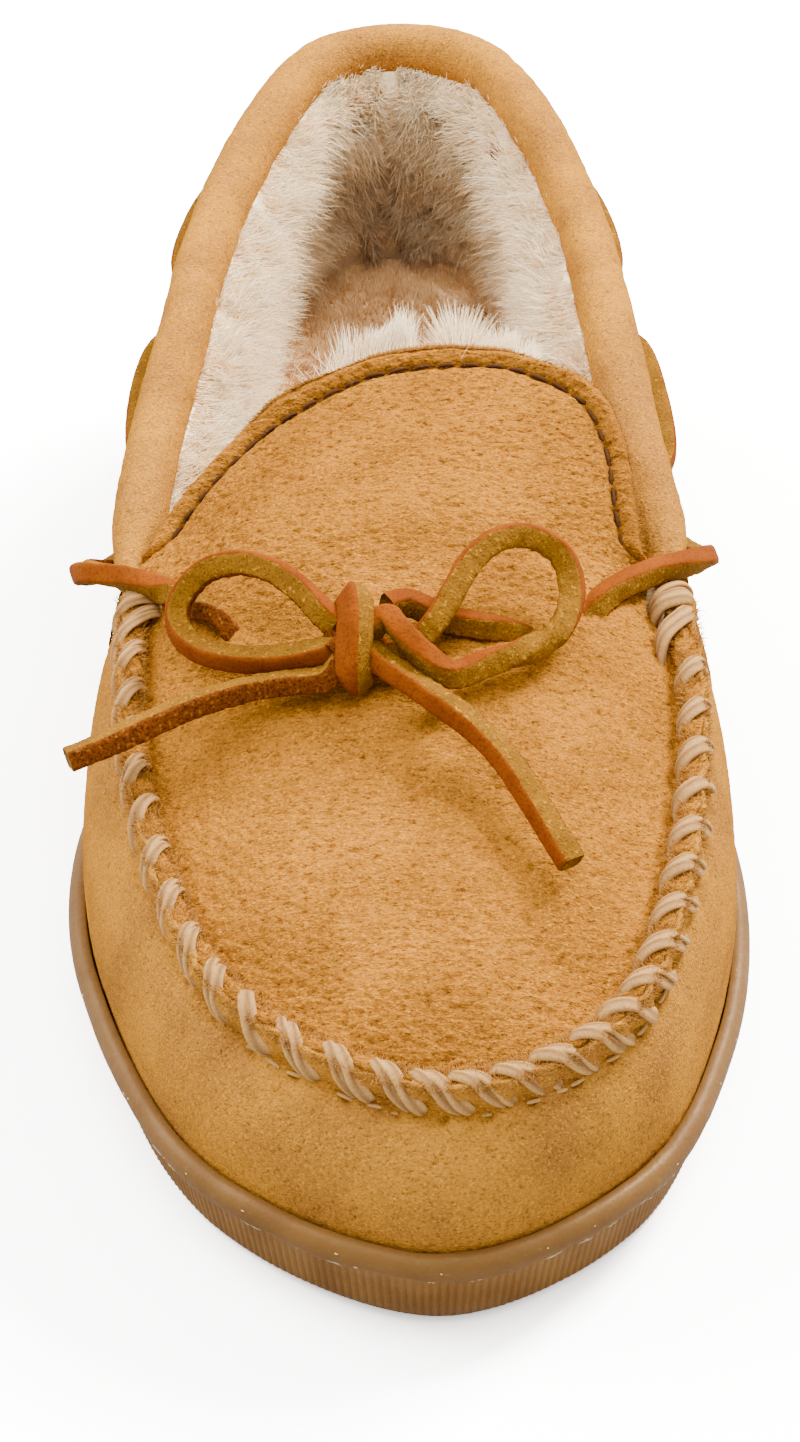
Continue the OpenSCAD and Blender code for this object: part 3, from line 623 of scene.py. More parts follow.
def strand(name, route, step, grain, body, materials, seed=1, tuck=(0, 0)):
    """Square lace along a route. grain is the direction that its finished face looks in,
    spread evenly from end to end, or each with its own station in front. tuck is how far
    each end runs on into the knot."""
    route = [np.array(q, float) for q in route]
    knot = np.array(KNOT, float)
    if tuck[0]:
        route.insert(0, route[0] + unit(knot - route[0]) * tuck[0])
    if tuck[1]:
        route.append(route[-1] + unit(knot - route[-1]) * tuck[1])
    count = int(np.ceil(np.linalg.norm(np.diff(np.array(route), axis=0), axis=1).sum() / step))
    s = np.linspace(0, len(route) - 1, count + 1)
    line = along(route, s)
    if len(grain[0]) == 4:
        grain = np.array(grain, float)
        way = np.stack([np.interp(s, grain[:, 0], grain[:, i]) for i in (1, 2, 3)], -1)
    else:
        way = along(grain, s / s[-1] * (len(grain) - 1))
    k = 28
    a, square = soft_square(k, LACE_W, LACE_H, 0.42)
    sections = np.repeat(square[None], len(s), 0)
    size = 1 + 0.05 * noise(line, 9, seed)[:, None, None]
    ends = np.minimum(np.arange(len(s)), np.arange(len(s))[::-1])
    sections = sections * size * np.where(ends < 1, 0.93, 1.0)[:, None, None]
    points, faces = sweep(line, sections, way)
    flesh = np.tile(np.sin(a) < 0.55, len(s))
    flesh = np.concatenate([flesh, [True, True]])
    centre = np.concatenate([np.repeat(line, k, 0), line[:1], line[-1:]])
    out = unit(points - centre)
    points += out * (rough(points, 0.8, seed, 2) * np.where(flesh, 0.17, 0.04))[:, None]
    choice = np.concatenate([np.tile(which_face(a), len(s) - 1), np.ones(2 * k)])
    ob = make(name, points, faces, materials, body, choice=choice)
    return ob, line * MM


def add_laces(materials):
    run, line = strand("lace_run", LACE_COLLAR, 0.9, RUN_GRAIN, "root", materials, seed=3)
    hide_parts("lace_collar")
    pieces = [
        ("bow_left", LOOP_LEFT, "loop_left", "bow_loop_left", "object", (3, 3),
         [(0.55, 0.02, 0.83), (0.55, 0.1, 0.8), (0.5, 0.3, 0.8), (0.3, 0.5, 0.8), (0, 0.6, 0.8),
          (-0.4, 0.55, 0.7), (-0.8, 0.35, 0.4), (-1, 0, 0), (-0.85, -0.5, 0), (-0.5, -0.85, 0),
          (-0.1, -1, -0.05), (0, -1, 0), (0.1, -1, 0.1)]),
        ("bow_right", LOOP_RIGHT, "loop_right", "bow_loop_right", "object", (4, 2),
         [(0, -0.3, 1), (-0.2, -0.3, 1), (-0.3, -0.2, 1), (-0.2, 0, 1), (-0.1, 0.1, 1),
          (-0.1, 0.3, 1), (0, 0.6, 0.8), (0.3, 0.9, 0.1), (0.8, 0.5, -0.2), (1, -0.1, 0.05),
          (0.9, 0.1, 0.35), (0.6, 0.3, 0.6), (0.2, 0.45, 0.85), (-0.15, 0.5, 0.85),
          (-0.5, 0.45, 0.7), (-0.8, 0.35, 0.45), (-0.85, 0.3, 0.4), (-0.85, 0.3, 0.4),
          (-0.7, 0.3, 0.6), (-0.6, 0.2, 0.7)]),
        ("tail_left_end", TAIL_LEFT, "tail_left", "bow_tail_left", "bare", (4, 0),
         [(0, 0.95, -0.22), (0.1, 0.95, -0.22), (0.2, 0.95, -0.22)]),
        ("tail_right_end", TAIL_RIGHT, "tail_right", "bow_tail_right", "bare", (4, 0),
         [(-0.6, -0.7, 0.4), (-0.8, -0.6, 0.25), (-0.9, -0.4, 0.15)])]
    for k, (name, route, body, node, far_end, tuck, grain) in enumerate(pieces):
        # the right loop is twisted, and shows a cut face where its rough back would be
        skins = materials[:2] + materials[1:2] if name == "bow_right" else materials
        ob, line = strand(name, route, 0.35, grain, body, skins, seed=10 + k, tuck=tuck)
        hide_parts(node)


def add_knot(materials):
    """Upright wrap of lace, over the crossed strands that it holds."""
    wide, high = 5.2, 4.6
    tilt, turn = math.radians(32), math.radians(8)
    rx = np.array([[1, 0, 0], [0, math.cos(tilt), -math.sin(tilt)],
                   [0, math.sin(tilt), math.cos(tilt)]])
    rz = np.array([[math.cos(turn), -math.sin(turn), 0], [math.sin(turn), math.cos(turn), 0],
                   [0, 0, 1]])
    place = rz @ rx
    n, k = 150, 28
    a = -np.arange(n) * 2 * np.pi / n
    ring = np.stack([0.5 * np.cos(a) + 0.3 * np.sin(2 * a), np.cos(a) * 6.2, np.sin(a) * 3.2], -1)
    out = unit(np.stack([np.full(n, -1.3), np.cos(a), np.sin(a) * 1.2], -1))
    b, square = soft_square(k, wide, high, 0.55)
    forward = unit(np.roll(ring, -1, 0) - np.roll(ring, 1, 0))
    up = unit(out - forward * (out * forward).sum(-1, keepdims=True))
    side = np.cross(forward, up)
    points = (ring[:, None] + side[:, None] * square[None, :, :1]
              + up[:, None] * square[None, :, 1:]).reshape(-1, 3)
    points += unit(points - np.repeat(ring, k, 0)) * (rough(points, 0.9, 21, 2) * 0.1)[:, None]
    choice = np.tile(which_face(b), n)
    wrap = make("bow_wrap", points @ place.T + KNOT, grid(n, k, True, True), materials,
                "root", choice=choice)
    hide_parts("bow_knot")
    # the two crossed strands inside the wrap
    parts = []
    for q, (x, y0, y1, z) in enumerate([(3.4, -2.6, 2.6, 0.9), (3.4, 2.2, -2.4, -0.8)]):
        line = np.linspace((-x, y0, z), (x, y1, z * 0.6), 24)
        line[:, 2] += 0.5 * np.sin(np.linspace(0, np.pi, 24))
        sections = np.repeat(square[None] * 0.75, 24, 0)
        p, f = sweep(line, sections, np.tile((0, -0.3, 1.0), (24, 1)))
        p = p + unit(p) * (rough(p, 0.9, 31 + q, 2) * 0.08)[:, None]
        parts.append((p @ place.T + KNOT, f))
    points, faces = join(parts)
    core = make("bow_core", points, faces, materials[2:], "root")
    return wrap, core


# ---- sole ----------------------------------------------------------------------------------
def even_stations(n):
    """n stations evenly spaced round the sole."""
    s = np.linspace(0, 18, 3601)
    run = np.concatenate([[0], np.cumsum(np.linalg.norm(np.diff(closed(SOLE, s), axis=0),
                                                        axis=1))])
    return np.interp(np.arange(n) * run[-1] / n, run, s)


def at_edge(s, inset, z):
    """Points at an inset from the sole's outline, at a height that follows the toe spring."""
    p = edge(s, inset)
    return at_height(p, z + lift(p[..., 1]))


def inside_sole(s, inset, narrow, short, share):
    """Points between the middle of the sole (share 0) and an inset from its edge (share 1).
    The middle is the inset outline squeezed to narrow of its width and short of its length."""
    rim = edge(s, np.full(s.shape, inset))
    spine = np.stack([narrow * rim[..., 0], rim[..., 1] * short], -1)
    return mix(spine, rim, share[..., None])


def add_outsole(material):
    per = 8
    n = FLUTES * per
    s = even_stations(n)
    rib = 1 - np.abs(np.sin(np.pi * (np.arange(n) % per + 0.5) / per)) ** 0.55
    # height, inset and how deep the flutes are there
    rows = np.array([(0.05, 3.4, 0.1), (0.25, 2.95, 0.5), (0.8, 2.55, 1), (2.2, 2.25, 1),
                     (4, 1.9, 1), (6, 1.5, 1), (7.9, 1.15, 0.9), (9.1, 0.9, 0.5),
                     (9.8, 0.85, 0.2), (RIB_HEIGHT, 1.0, 0)])
    ss = np.repeat(s[:, None], len(rows), 1)
    wave = 0.12 * noise(at_edge(s, 0 * s, 5 + 0 * s), 12, 4)
    inset = rows[None, :, 1] + rows[None, :, 2] * 0.55 * rib[:, None] + wave[:, None]
    outer = at_edge(ss, inset, np.broadcast_to(rows[None, :, 0], ss.shape))
    inner = at_edge(ss, 7 + 0 * inset, np.broadcast_to(rows[None, :, 0], ss.shape))
    points, faces = slab(outer, inner, True)
    pale = np.concatenate([np.tile(ramp(-rows[:, 0], -3.5, -0.4), n), np.zeros(inner.size // 3)])
    pale *= 0.4 + 0.6 * noise(points, 15, 5)
    ring = make("outsole_edge", points, faces, material, values={"pale": pale.clip(0, 1)})
    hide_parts("outsole")
    # tread: bars across the forefoot and the heel, plain at the arch
    n, m = 900, 110
    s = even_stations(n)[:, None]
    share = np.linspace(0.0, 1, m)[None]
    flat = inside_sole(np.repeat(s, m, 1), TREAD_INSET, 0.06, 0.93, share)
    x, y = flat[..., 0], flat[..., 1]
    bars = ramp(np.cos(2 * np.pi * (y + 1.6 * np.sin(x / 5)) / 7.5), -0.35, 0.1)
    pad = (ramp(-y, -12, -4) + ramp(y, 52, 58)) * ramp(-share, -0.93, -0.9)
    z = 1.5 * (1 - bars) * pad + lift(y) + 0.05
    high = at_height(flat, RIB_HEIGHT - 0.3 + lift(y))
    points, faces = slab(high[:, ::-1], at_height(flat, z)[:, ::-1], True)
    tread = make("outsole_tread", points, faces, material)


def add_band(material, glue):
    n, k = 1500, 26
    s = even_stations(n)
    # outwards from the outline, and height above the band's foot
    profile = [(0.1, 0.1), (0.75, 0.2), (1.0, 0.8), (1.0, 1.6), (0.75, 2.5), (0.25, 3.2),
               (-0.6, 3.7), (-1.6, 3.65), (-1.9, 3.1), (-1.9, 0.3)]
    q = closed(profile, np.arange(k) * len(profile) / k)
    base = at_edge(s, 0 * s, 0 * s)
    wavy = 0.35 * noise(base, 7, 11) + 0.25 * noise(base, 2.6, 12)
    foot = ramp(-q[:, 1], -1.3, -0.1)
    inset = -(q[None, :, 0] + 0.12 * noise(base, 9, 13)[:, None])
    z = BAND_Z + q[None, :, 1] + wavy[:, None] * foot[None]
    z = z + 0.22 * noise(base, 6, 14)[:, None] * ramp(q[:, 1], 2.2, 3.4)[None]
    points = at_edge(np.repeat(s[:, None], k, 1), inset, z).reshape(-1, 3)
    band = make("foxing", points, grid(n, k, True, True), material)
    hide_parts("foxing_band")
    # dried glue squeezed out below the band, and a few specks on it
    parts = []
    fleck_count, on_lip_count, station_length = 120, 84, 38
    for i in range(fleck_count):
        on_lip = i < on_lip_count
        at = rng.uniform(5.5, 12.6) if rng.random() < 0.75 else rng.uniform(0, 18)
        long = rng.uniform(0.3, 1.9) if on_lip else rng.uniform(0.1, 0.35)
        height = BAND_Z + (rng.uniform(-0.35, 0.15) if on_lip else rng.uniform(0.7, 2.6))
        a = np.linspace(-1, 1, 7)
        st = at + a * long / station_length
        line = at_edge(st, np.full(7, -0.55 if on_lip else -0.95), np.full(7, height))
        line[:, 2] += rng.normal(0, 0.08, 7)
        fat = np.sqrt(np.maximum(0.04, 1 - a * a))
        b = np.arange(8) * np.pi / 4
        ring = np.stack([np.cos(b) * 0.08, np.sin(b) * 0.07], -1)
        sections = ring[None] * (fat * rng.uniform(0.7, 1.5, 7))[:, None, None]
        parts.append(sweep(line, sections, np.tile((0, 0, 1.0), (7, 1))))
    points, faces = join(parts)
    flecks = make("glue_flecks", points, faces, glue)


# ---- upper ---------------------------------------------------------------------------------
def whip_station(i):
    return WHIP_A + (WHIP_B - WHIP_A) * (i + 0.5) / WHIP_COUNT


def whip_number(s):
    """Which whip stitch a station is at, with a fraction between two of them."""
    return (s - WHIP_A) / (WHIP_B - WHIP_A) * WHIP_COUNT - 0.5


def seam_wave(s):
    """1 at each whip stitch and -1 halfway between two."""
    return np.cos(2 * np.pi * whip_number(s))


def rise(s):
    """Height of the puckered seam, which tapers off at both rear ends."""
    return SEAM_HEIGHT * np.clip(np.minimum(s - FRONT_A, FRONT_B - s) / 0.1, 0.5, 1)


def stand(s):
    """The way the seam stands up, leaning out a little."""
    o = out_at(s)
    return unit(at_height(o * 0.1, 1.0))


def napped(points, normals, depth, size, seed, squash=(1, 1, 1)):
    """Points with a brushed surface, and how far down in the nap each one is, 0 to 1, which the
    suede paints as shade.
    """
    size = np.array(squash, float) * size
    h = noise(points, size, seed) * 0.55 + noise(points, size * 0.5, seed + 1) * 0.45
    return points + normals * (h * depth)[..., None], 0.8 * ramp(-h, 0.0, 0.75)


def dashes(spots, ways, ups, long, thick, seed):
    """Short stitches lying on a surface, each a small bowed roll of thread."""
    parts = []
    local = np.random.default_rng(seed)
    for p, way, up in zip(spots, unit(ways), unit(ups)):
        a = np.linspace(-1, 1, 8)
        turn = local.normal(0, 0.1)
        side = np.cross(way, up)
        length = long * local.uniform(0.85, 1.1)
        line = (p + (way + side * turn) * (a * length / 2)[:, None]
                + up * ((1 - a ** 4) * thick * 0.55 - thick * 0.5)[:, None])
        b = np.arange(8) * np.pi / 4
        fat = 1 - 0.35 * a ** 6
        ring = np.stack([np.cos(b), np.sin(b) * 0.8], -1) * thick / 2
        parts.append(sweep(line, ring[None] * fat[:, None, None], np.tile(up, (8, 1))))
    return join(parts)


def add_vamp(material):
    n, m, lip = 1200, 70, 12
    s = np.linspace(FRONT_A, FRONT_B, n)[:, None]
    t = np.linspace(0, 1, m) ** 0.9
    body = wall_p(s, t[None])
    normal = wall_n(s, t[None])
    wall_length = 46
    below = (1 - t) * wall_length
    fade = np.exp(-(below / 6) ** 2)
    wave = seam_wave(s) * np.minimum(rise(s) / SEAM_HEIGHT, 1)
    body, pit = napped(body, normal, 0.11, 0.8, 41)
    swell = -0.55 * wave * fade + 0.35 * noise(body, 16, 43) + 0.3 * noise(body, 8, 44) * fade
    body = body + normal * swell[..., None]
    # dimple where each stitch goes in, with painted shade in it
    at = whip_number(s)
    near = np.abs(at - np.round(at) - 0.22) * WHIP_PITCH
    hole = np.exp(-(near / 1.3) ** 2 - ((below - 2.2) / 1.5) ** 2)
    hole = hole * (np.round(at) >= 0) * (np.round(at) < WHIP_COUNT)
    body = body - normal * (0.7 * hole)[..., None]
    # painted shade in the stitch dimples
    pit = pit + hole
    # the lip stands up at the seam, outer face first and then the inner one
    k = flat3(out_at(s))
    top = closed(TOP, s)
    up = np.linspace(0, 1, lip + 1)[1:]
    bulge = 0.5 * np.sin(up * np.pi) - 0.3 * up
    lipped = (top + stand(s) * (rise(s)[..., None] * up[None, :, None])
              + k * (bulge[None] - 0.55 * wave * (1 - 0.3 * up[None]))[..., None])
    lipped = lipped + k * (0.22 * rough(lipped, 1.3, 46))[..., None]
    lipped[..., 2] += 0.35 * noise(lipped, 2.5, 47) * up[None] * rise(s) / SEAM_HEIGHT
    foot = body[:, :1] * [1, 1, 0] + [0, 0, BAND_Z]
    foot[..., 2] += lift(foot[..., 1])
    outer = np.concatenate([foot, body, lipped], 1)
    inner = wall_at(s, t[None], -SUEDE)
    inner[:, -1:] = top - k * SUEDE
    inner_lip = lipped - k * (SUEDE * (1 - 0.25 * up[None] ** 4))[..., None]
    inner_lip[..., 2] -= 0.2 * up[None]
    inner = np.concatenate([foot - k * SUEDE, inner, inner_lip], 1)
    fuzz = np.repeat(ramp(up, 0.8, 1)[None] * 0.2, n, 0)
    pit = np.concatenate([np.zeros((n, 1)), pit, fuzz], 1)
    points, faces = slab(outer, inner)
    ob = make("vamp_suede", points, faces, material,
              values={"pit": np.concatenate([pit.ravel(), np.zeros(n * (m + lip + 1))])})
    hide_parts("vamp")


def add_apron_edge(material):
    """Raw margin of the apron, standing against the vamp's lip."""
    n, m = 1200, 16
    s = np.linspace(FRONT_A + 0.01, FRONT_B - 0.01, n)[:, None]
    up = np.linspace(-0.3, 1, m)[None]
    k = flat3(out_at(s))
    wave = seam_wave(s)
    base = closed(TOP, s) + stand(s) * (rise(s) * up)[..., None]
    near = base - k * (SUEDE - 0.5 + 0.3 * wave * up)[..., None]
    bulge = 0.5 * np.sin(np.clip(up, 0, 1) * np.pi) - 0.5 * wave
    far = base - k * (2 * SUEDE + GAP + bulge)[..., None]
    for side, seed in ((near, 51), (far, 52)):
        side += k * (0.3 * rough(side, 1.4, seed))[..., None]
        side[..., 2] += 0.5 * rough(side, 2.4, seed + 5) * np.clip(up, 0, 1)
    far[..., 2] -= 0.25 * np.clip(up, 0, 1)
    points, faces = slab(near, far)
    pit = 0.55 * ramp(rough(points, 1.1, 57), 0.1, 0.7)
    ob = make("apron_edge_suede", points, faces, material, values={"pit": pit})
    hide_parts("apron_edge")


def add_quarter(material, side):
    name = "left" if side < 0 else "right"
    n, m = 900, 66
    ends = (0.03, 5.74) if side < 0 else (-5.54, -0.03)
    s = np.linspace(*ends, n)[:, None]
    # past the end of the collar roll the suede goes on up to the rim
    ending = 1 - ramp(abs(ends[0] if side > 0 else ends[1]) - abs(s), 0.12, 0.3)
    t = np.linspace(0, 1, m)[None] * mix(under_collar(s), 0.985, ending)
    body, normal = wall_p(s, t), wall_n(s, t)
    body, pit = napped(body, normal, 0.11, 0.8, 61)
    body = body + normal * (0.5 * noise(body, 20, 63) + 0.18 * noise(body, 7, 64))[..., None]
    # the suede gives at each slit, with painted shade in the dent
    station_length = 28
    for at in SLITS:
        across = (s + side * at) * station_length
        below = (closed(TOP, s)[..., 2] - 7.2) - body[..., 2]
        dent = np.exp(-(across / 1.5) ** 2 - (below / 3.2) ** 2)
        body = body - normal * (0.9 * dent)[..., None]
        # painted shade in the dents
        pit = pit + 0.8 * dent
    k = flat3(out_at(s))
    foot = body[:, :1] * [1, 1, 0] + [0, 0, BAND_Z]
    foot[..., 2] += lift(foot[..., 1])
    outer = np.concatenate([foot, body], 1)
    inner = np.concatenate([foot - k * SUEDE, wall_at(s, t, -SUEDE)], 1)
    points, faces = slab(outer, inner)
    pit = np.concatenate([np.zeros((n, 1)), pit], 1)
    ob = make(f"quarter_suede_{name}", points, faces, material,
              values={"pit": np.concatenate([pit.ravel(), np.zeros(n * (m + 1))])})
    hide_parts(f"quarter_{name}")


def add_back_stay(material, thread):
    n, m = 60, 160
    s = np.linspace(-0.36, 0.36, n)[:, None]
    t = np.linspace(0.04, 0.8, m)[None]
    x = s / 0.36
    thick = 1.25 * np.sqrt(np.maximum(0.0, 1 - x ** 8)) + 0.15
    outer = wall_at(s, t, thick + 0 * t)
    normal = wall_n(s, t)
    outer, pit = napped(outer, normal, 0.11, 0.8, 66)
    inner = wall_at(s, t, 0.05 + 0 * s + 0 * t)
    points, faces = slab(outer, inner)
    ob = make("back_stay_suede", points, faces, material,
              values={"pit": np.concatenate([pit.ravel(), np.zeros(n * m)])})
    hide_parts("back_stay")
    spots, ways, ups = [], [], []
    for sx in (-0.29, 0.29):
        for tt in np.arange(0.08, 0.77, 0.026):
            spots.append(wall_at(sx, tt, 1.45))
            ways.append(wall_p(sx, tt + 0.01) - wall_p(sx, tt - 0.01))
            ups.append(wall_n(sx, tt))
    points, faces = dashes(np.array(spots), np.array(ways), np.array(ups), 2.4, 0.5, 3)
    stitches = make("heel_stitching", points, faces, thread)


def add_collar(material):
    n, k = 1500, 60
    s = np.linspace(COLLAR_A, COLLAR_B, n)[:, None]
    a = (np.arange(k) * 2 * np.pi / k)[None]
    o = flat3(out_at(s))
    centre = closed(TOP, s) - o * (1.4 * ramp(-s, 3.9, 4.8))[..., None]
    left = np.minimum(s - COLLAR_A, COLLAR_B - s)
    r = COLLAR_R * (0.6 + 0.4 * ramp(left, 0, 0.35)) * (1 + 0.03 * noise(centre, 25, 71))
    # creased along the seam to the quarter, at this angle round the roll, and not quite round
    crease = 5.0
    shape = 1 - 0.10 * np.exp(-((a - crease) / 0.16) ** 2) - 0.02 * np.cos(2 * a)
    out = o * np.cos(a)[..., None] + np.array([0, 0, 1.0]) * np.sin(a)[..., None]
    points = centre + out * (r * shape)[..., None]
    points, pit = napped(points, out, 0.1, 0.8, 73)
    points = points + out * (0.16 * noise(points, 6, 75) + 0.1 * noise(points, 2.4, 76))[..., None]
    # painted shade along the crease
    pit = pit + 0.6 * np.exp(-((a - crease) / 0.1) ** 2)
    flat = points.reshape(-1, 3)
    j = np.arange(k)
    faces = [grid(n, k, False, True)[:, ::-1]]
    flat = np.concatenate([flat, points[:1].mean(1), points[-1:].mean(1)])
    faces.append(np.stack([np.full(k, n * k), j, (j + 1) % k], -1))
    faces.append(np.stack([np.full(k, n * k + 1), (j + 1) % k + (n - 1) * k, j + (n - 1) * k], -1))
    ob = make("collar_suede", flat, faces, material,
              values={"pit": np.concatenate([pit.ravel(), [0, 0]])})
    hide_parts("collar_roll", "collar_foam")


def tongue_spread(v):
    """How far the tongue's sides lap over the collar."""
    full = 2.2 * ramp(v, 5.6, 6.4) * (1 - ramp(v, 9.5, 10.2))
    return full + 1.8 * np.exp(-((v - 8.9) / 0.6) ** 2)


def edge_gap(p, v):
    """How far points of the tongue are from its free edge; it counts for less at the tip."""
    rows = np.linspace(5.6, 10, 260)
    full = 1 + tongue_spread(rows) / np.maximum(half_row(rows), 3)
    tip_u = np.linspace(-1, 1, 160) * full[-1]
    rim = np.concatenate([apron_p(-full, rows), apron_p(full, rows),
                          apron_p(tip_u, np.full(160, 10.0))])
    flat = p.reshape(-1, 3)
    gap = np.concatenate([
        np.sqrt(((flat[i:i + 4000, None] - rim[None]) ** 2).sum(-1).min(1))
        for i in range(0, len(flat), 4000)])
    return gap.reshape(p.shape[:-1]) / (1 + 0.35 * ramp(v, 9, 9.8))


def add_apron(material):
    n, m = 330, 560
    u0 = np.linspace(-1, 1, n)[:, None]
    v = np.linspace(0.12, 10, m)[None]
    tuck = 2.0 * (1 - ramp(v, 5.4, 6.3))
    u = u0 * (1 + (tongue_spread(v) - tuck) / np.maximum(half_row(v), 3))
    p, normal = apron_p(u, v), apron_n(u, v)
    edge_dist = edge_gap(p, v) + 40 * (1 - ramp(v, 5.8, 6.6))
    p, pit = napped(p, normal, 0.32, 1.0, 81, (1.5, 0.8, 0.8))
    bumps = 0.45 * noise(p, 22, 83) + 0.22 * noise(p, 9, 84)
    line = np.exp(-((edge_dist - TONGUE_MARGIN) / 0.6) ** 2)
    rim = np.exp(-((edge_dist - 1.2) / 1.3) ** 2)
    lump = 0.3 * noise(p, 2.6, 85) * np.exp(-(edge_dist / 3.0) ** 2)
    round_off = -0.9 * np.exp(-(edge_dist / 0.5) ** 2)
    p = p + normal * (bumps - 0.7 * line + 0.9 * rim + lump + round_off)[..., None]
    # painted shade in the groove of the stitch line, and over the tongue past its bend
    pit = pit + 0.9 * line + 0.3 * ramp(v, 6, 7.6)
    low = apron_p(u, v) - normal * SUEDE
    points, faces = slab(p, low)
    ob = make("apron_tongue_suede", points, faces, material, body=None,
              values={"pit": np.concatenate([pit.ravel(), np.zeros(n * m)])})
    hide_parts("apron", "tongue")
    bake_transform(ob)


def add_tongue_stitching(thread):
    """Dark backstitches round the tongue."""
    # the first place on each ray from the middle where the edge is near enough
    angle = np.radians(np.linspace(-108, 108, 320))[:, None]
    reach = np.linspace(0.3, 1.5, 160)[None]
    u, v = reach * np.sin(angle), 7.2 + 2.8 * reach * np.cos(angle)
    gap = edge_gap(apron_p(u, v), v)
    near = np.argmax(gap < TONGUE_MARGIN, axis=1)
    row = np.arange(320)
    over, under = gap[row, near - 1] - TONGUE_MARGIN, TONGUE_MARGIN - gap[row, near]
    part = over / (over + under)
    u = mix(u[row, near - 1], u[row, near], part)
    v = mix(v[row, near - 1], v[row, near], part)
    p = apron_p(u, v)
    run = np.concatenate([[0], np.cumsum(np.linalg.norm(np.diff(p, axis=0), axis=1))])
    at = np.arange(1.5, run[-1] - 1, 3.9)
    uu, vv = np.interp(at, run, u), np.interp(at, run, v)
    spots = apron_p(uu, vv) - apron_n(uu, vv) * 0.3
    ahead = apron_p(np.interp(at + 0.5, run, u), np.interp(at + 0.5, run, v))
    ways = ahead - apron_p(uu, vv)
    points, faces = dashes(spots, ways, apron_n(uu, vv), 3.0, 0.7, 5)
    ob = make("tongue_backstitch", points, faces, thread, body="tongue")
    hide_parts("tongue_stitching")


def add_seams(pale, dark):
    count = 56
    s, t = 6.0 + 6.2 * (np.arange(count) + 0.5) / count, np.full(count, 0.965)
    ways = wall_p(s + 0.03, t) - wall_p(s - 0.03, t)
    sunk = np.random.default_rng(7).choice([0.15, -0.8, -1.0], len(s), p=(0.3, 0.3, 0.4))
    points, faces = dashes(wall_at(s, t, sunk), ways, wall_n(s, t), 3.0, 0.6, 8)
    ob = make("vamp_dashes", points, faces, pale)
    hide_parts("vamp_stitching")
    for name, at in (("left", 5.5), ("right", -5.3)):
        t = np.arange(0.12, 0.86, 0.052)
        s = np.full(len(t), at)
        ways = wall_p(s, t + 0.02) - wall_p(s, t - 0.02)
        points, faces = dashes(wall_at(s, t, 0.2 + 0 * s), ways, wall_n(s, t), 2.3, 0.5, 9)
        ob = make(f"side_dashes_{name}", points, faces, dark)
        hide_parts(f"side_seam_{name}")


def add_whip_stitches(material):
    """Doubled strands of waxed thread, over the seam from the apron side to the vamp."""
    parts, grooves = [], []
    n, k = 40, 16
    wraps = [(whip_station(i), 1 if i in SINGLE_WRAPS else 2, None)
             for i in range(WHIP_COUNT)]
    for i, (s, strands, fixed_lean) in enumerate(wraps + HEAVY_WRAPS):
        for strand_no in range(strands):
            shift = (strand_no - (strands - 1) / 2) * STRAND_GAP
            lean = fixed_lean or rng.uniform(3.4, 4.4)
            r = rng.uniform(0.95, 1.12) if strands > 1 else rng.uniform(1.25, 1.4)
            o = flat3(out_at(s))
            d = np.array([-o[1], o[0], 0])
            wide = 1.3 if fixed_lean else 0.0
            c = closed(TOP, s) - o * (1.8 + wide) + stand(s) * (SEAM_HEIGHT / 2)
            w, h = 1.75 + wide, SEAM_HEIGHT / 2 + 0.15 + wide * 0.25
            arch = [(w - 1.0, -h * 0.95, lean + 0.9), (w + 0.3, -h * 0.6, lean + 0.5),
                    (w + 0.45, h * 0.1, lean * 0.6), (w * 0.7, h * 0.85, lean * 0.15),
                    (0, h * 1.05, -lean * 0.25), (-w * 0.75, h * 0.8, -lean * 0.6),
                    (-w - 0.25, h * 0.1, -lean * 0.9), (-w - 0.1, -h * 0.7, -lean * 1.15)]
            q = along(arch, np.linspace(0, len(arch) - 1, n))
            spread = shift * np.sin(np.linspace(0.16, 0.86, n) * np.pi)
            line = c + o * q[:, :1] + np.array([0, 0, 1.0]) * q[:, 1:2] + d * q[:, 2:]
            line = line + d * spread[:, None]
            line += 0.12 * np.stack([noise(line, 3, 90 + j + i) for j in range(3)], -1)
            b = np.arange(k) * 2 * np.pi / k
            twist = np.linspace(0, 0.5, n)[:, None] * np.pi
            ply = np.abs(np.sin(1.5 * (b[None] + twist)))
            fat = r * (0.86 + 0.14 * ply) * (1 + 0.06 * noise(line, 2, 99 + i)[:, None])
            away = np.minimum(np.arange(n), n - 1 - np.arange(n))[:, None] / n
            fat = fat * (0.55 + 0.45 * ramp(away, 0, 0.22))
            sections = np.stack([np.cos(b) * fat, np.sin(b) * fat * 0.6], -1)
            up = line - c
            parts.append(sweep(line, sections, up))
            # where the plies dip, darkened as painted shade by the thread material
            grooves.append(np.concatenate([(1 - ply).ravel(), [0, 0]]))
    points, faces = join(parts)
    ob = make("whip_thread", points, faces, material, values={"groove": np.concatenate(grooves)})
    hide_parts("whip_stitches")


# ---- lining --------------------------------------------------------------------------------
def wool_share():
    """Share of the loose wool that is grown: all of it."""
    return 1.0


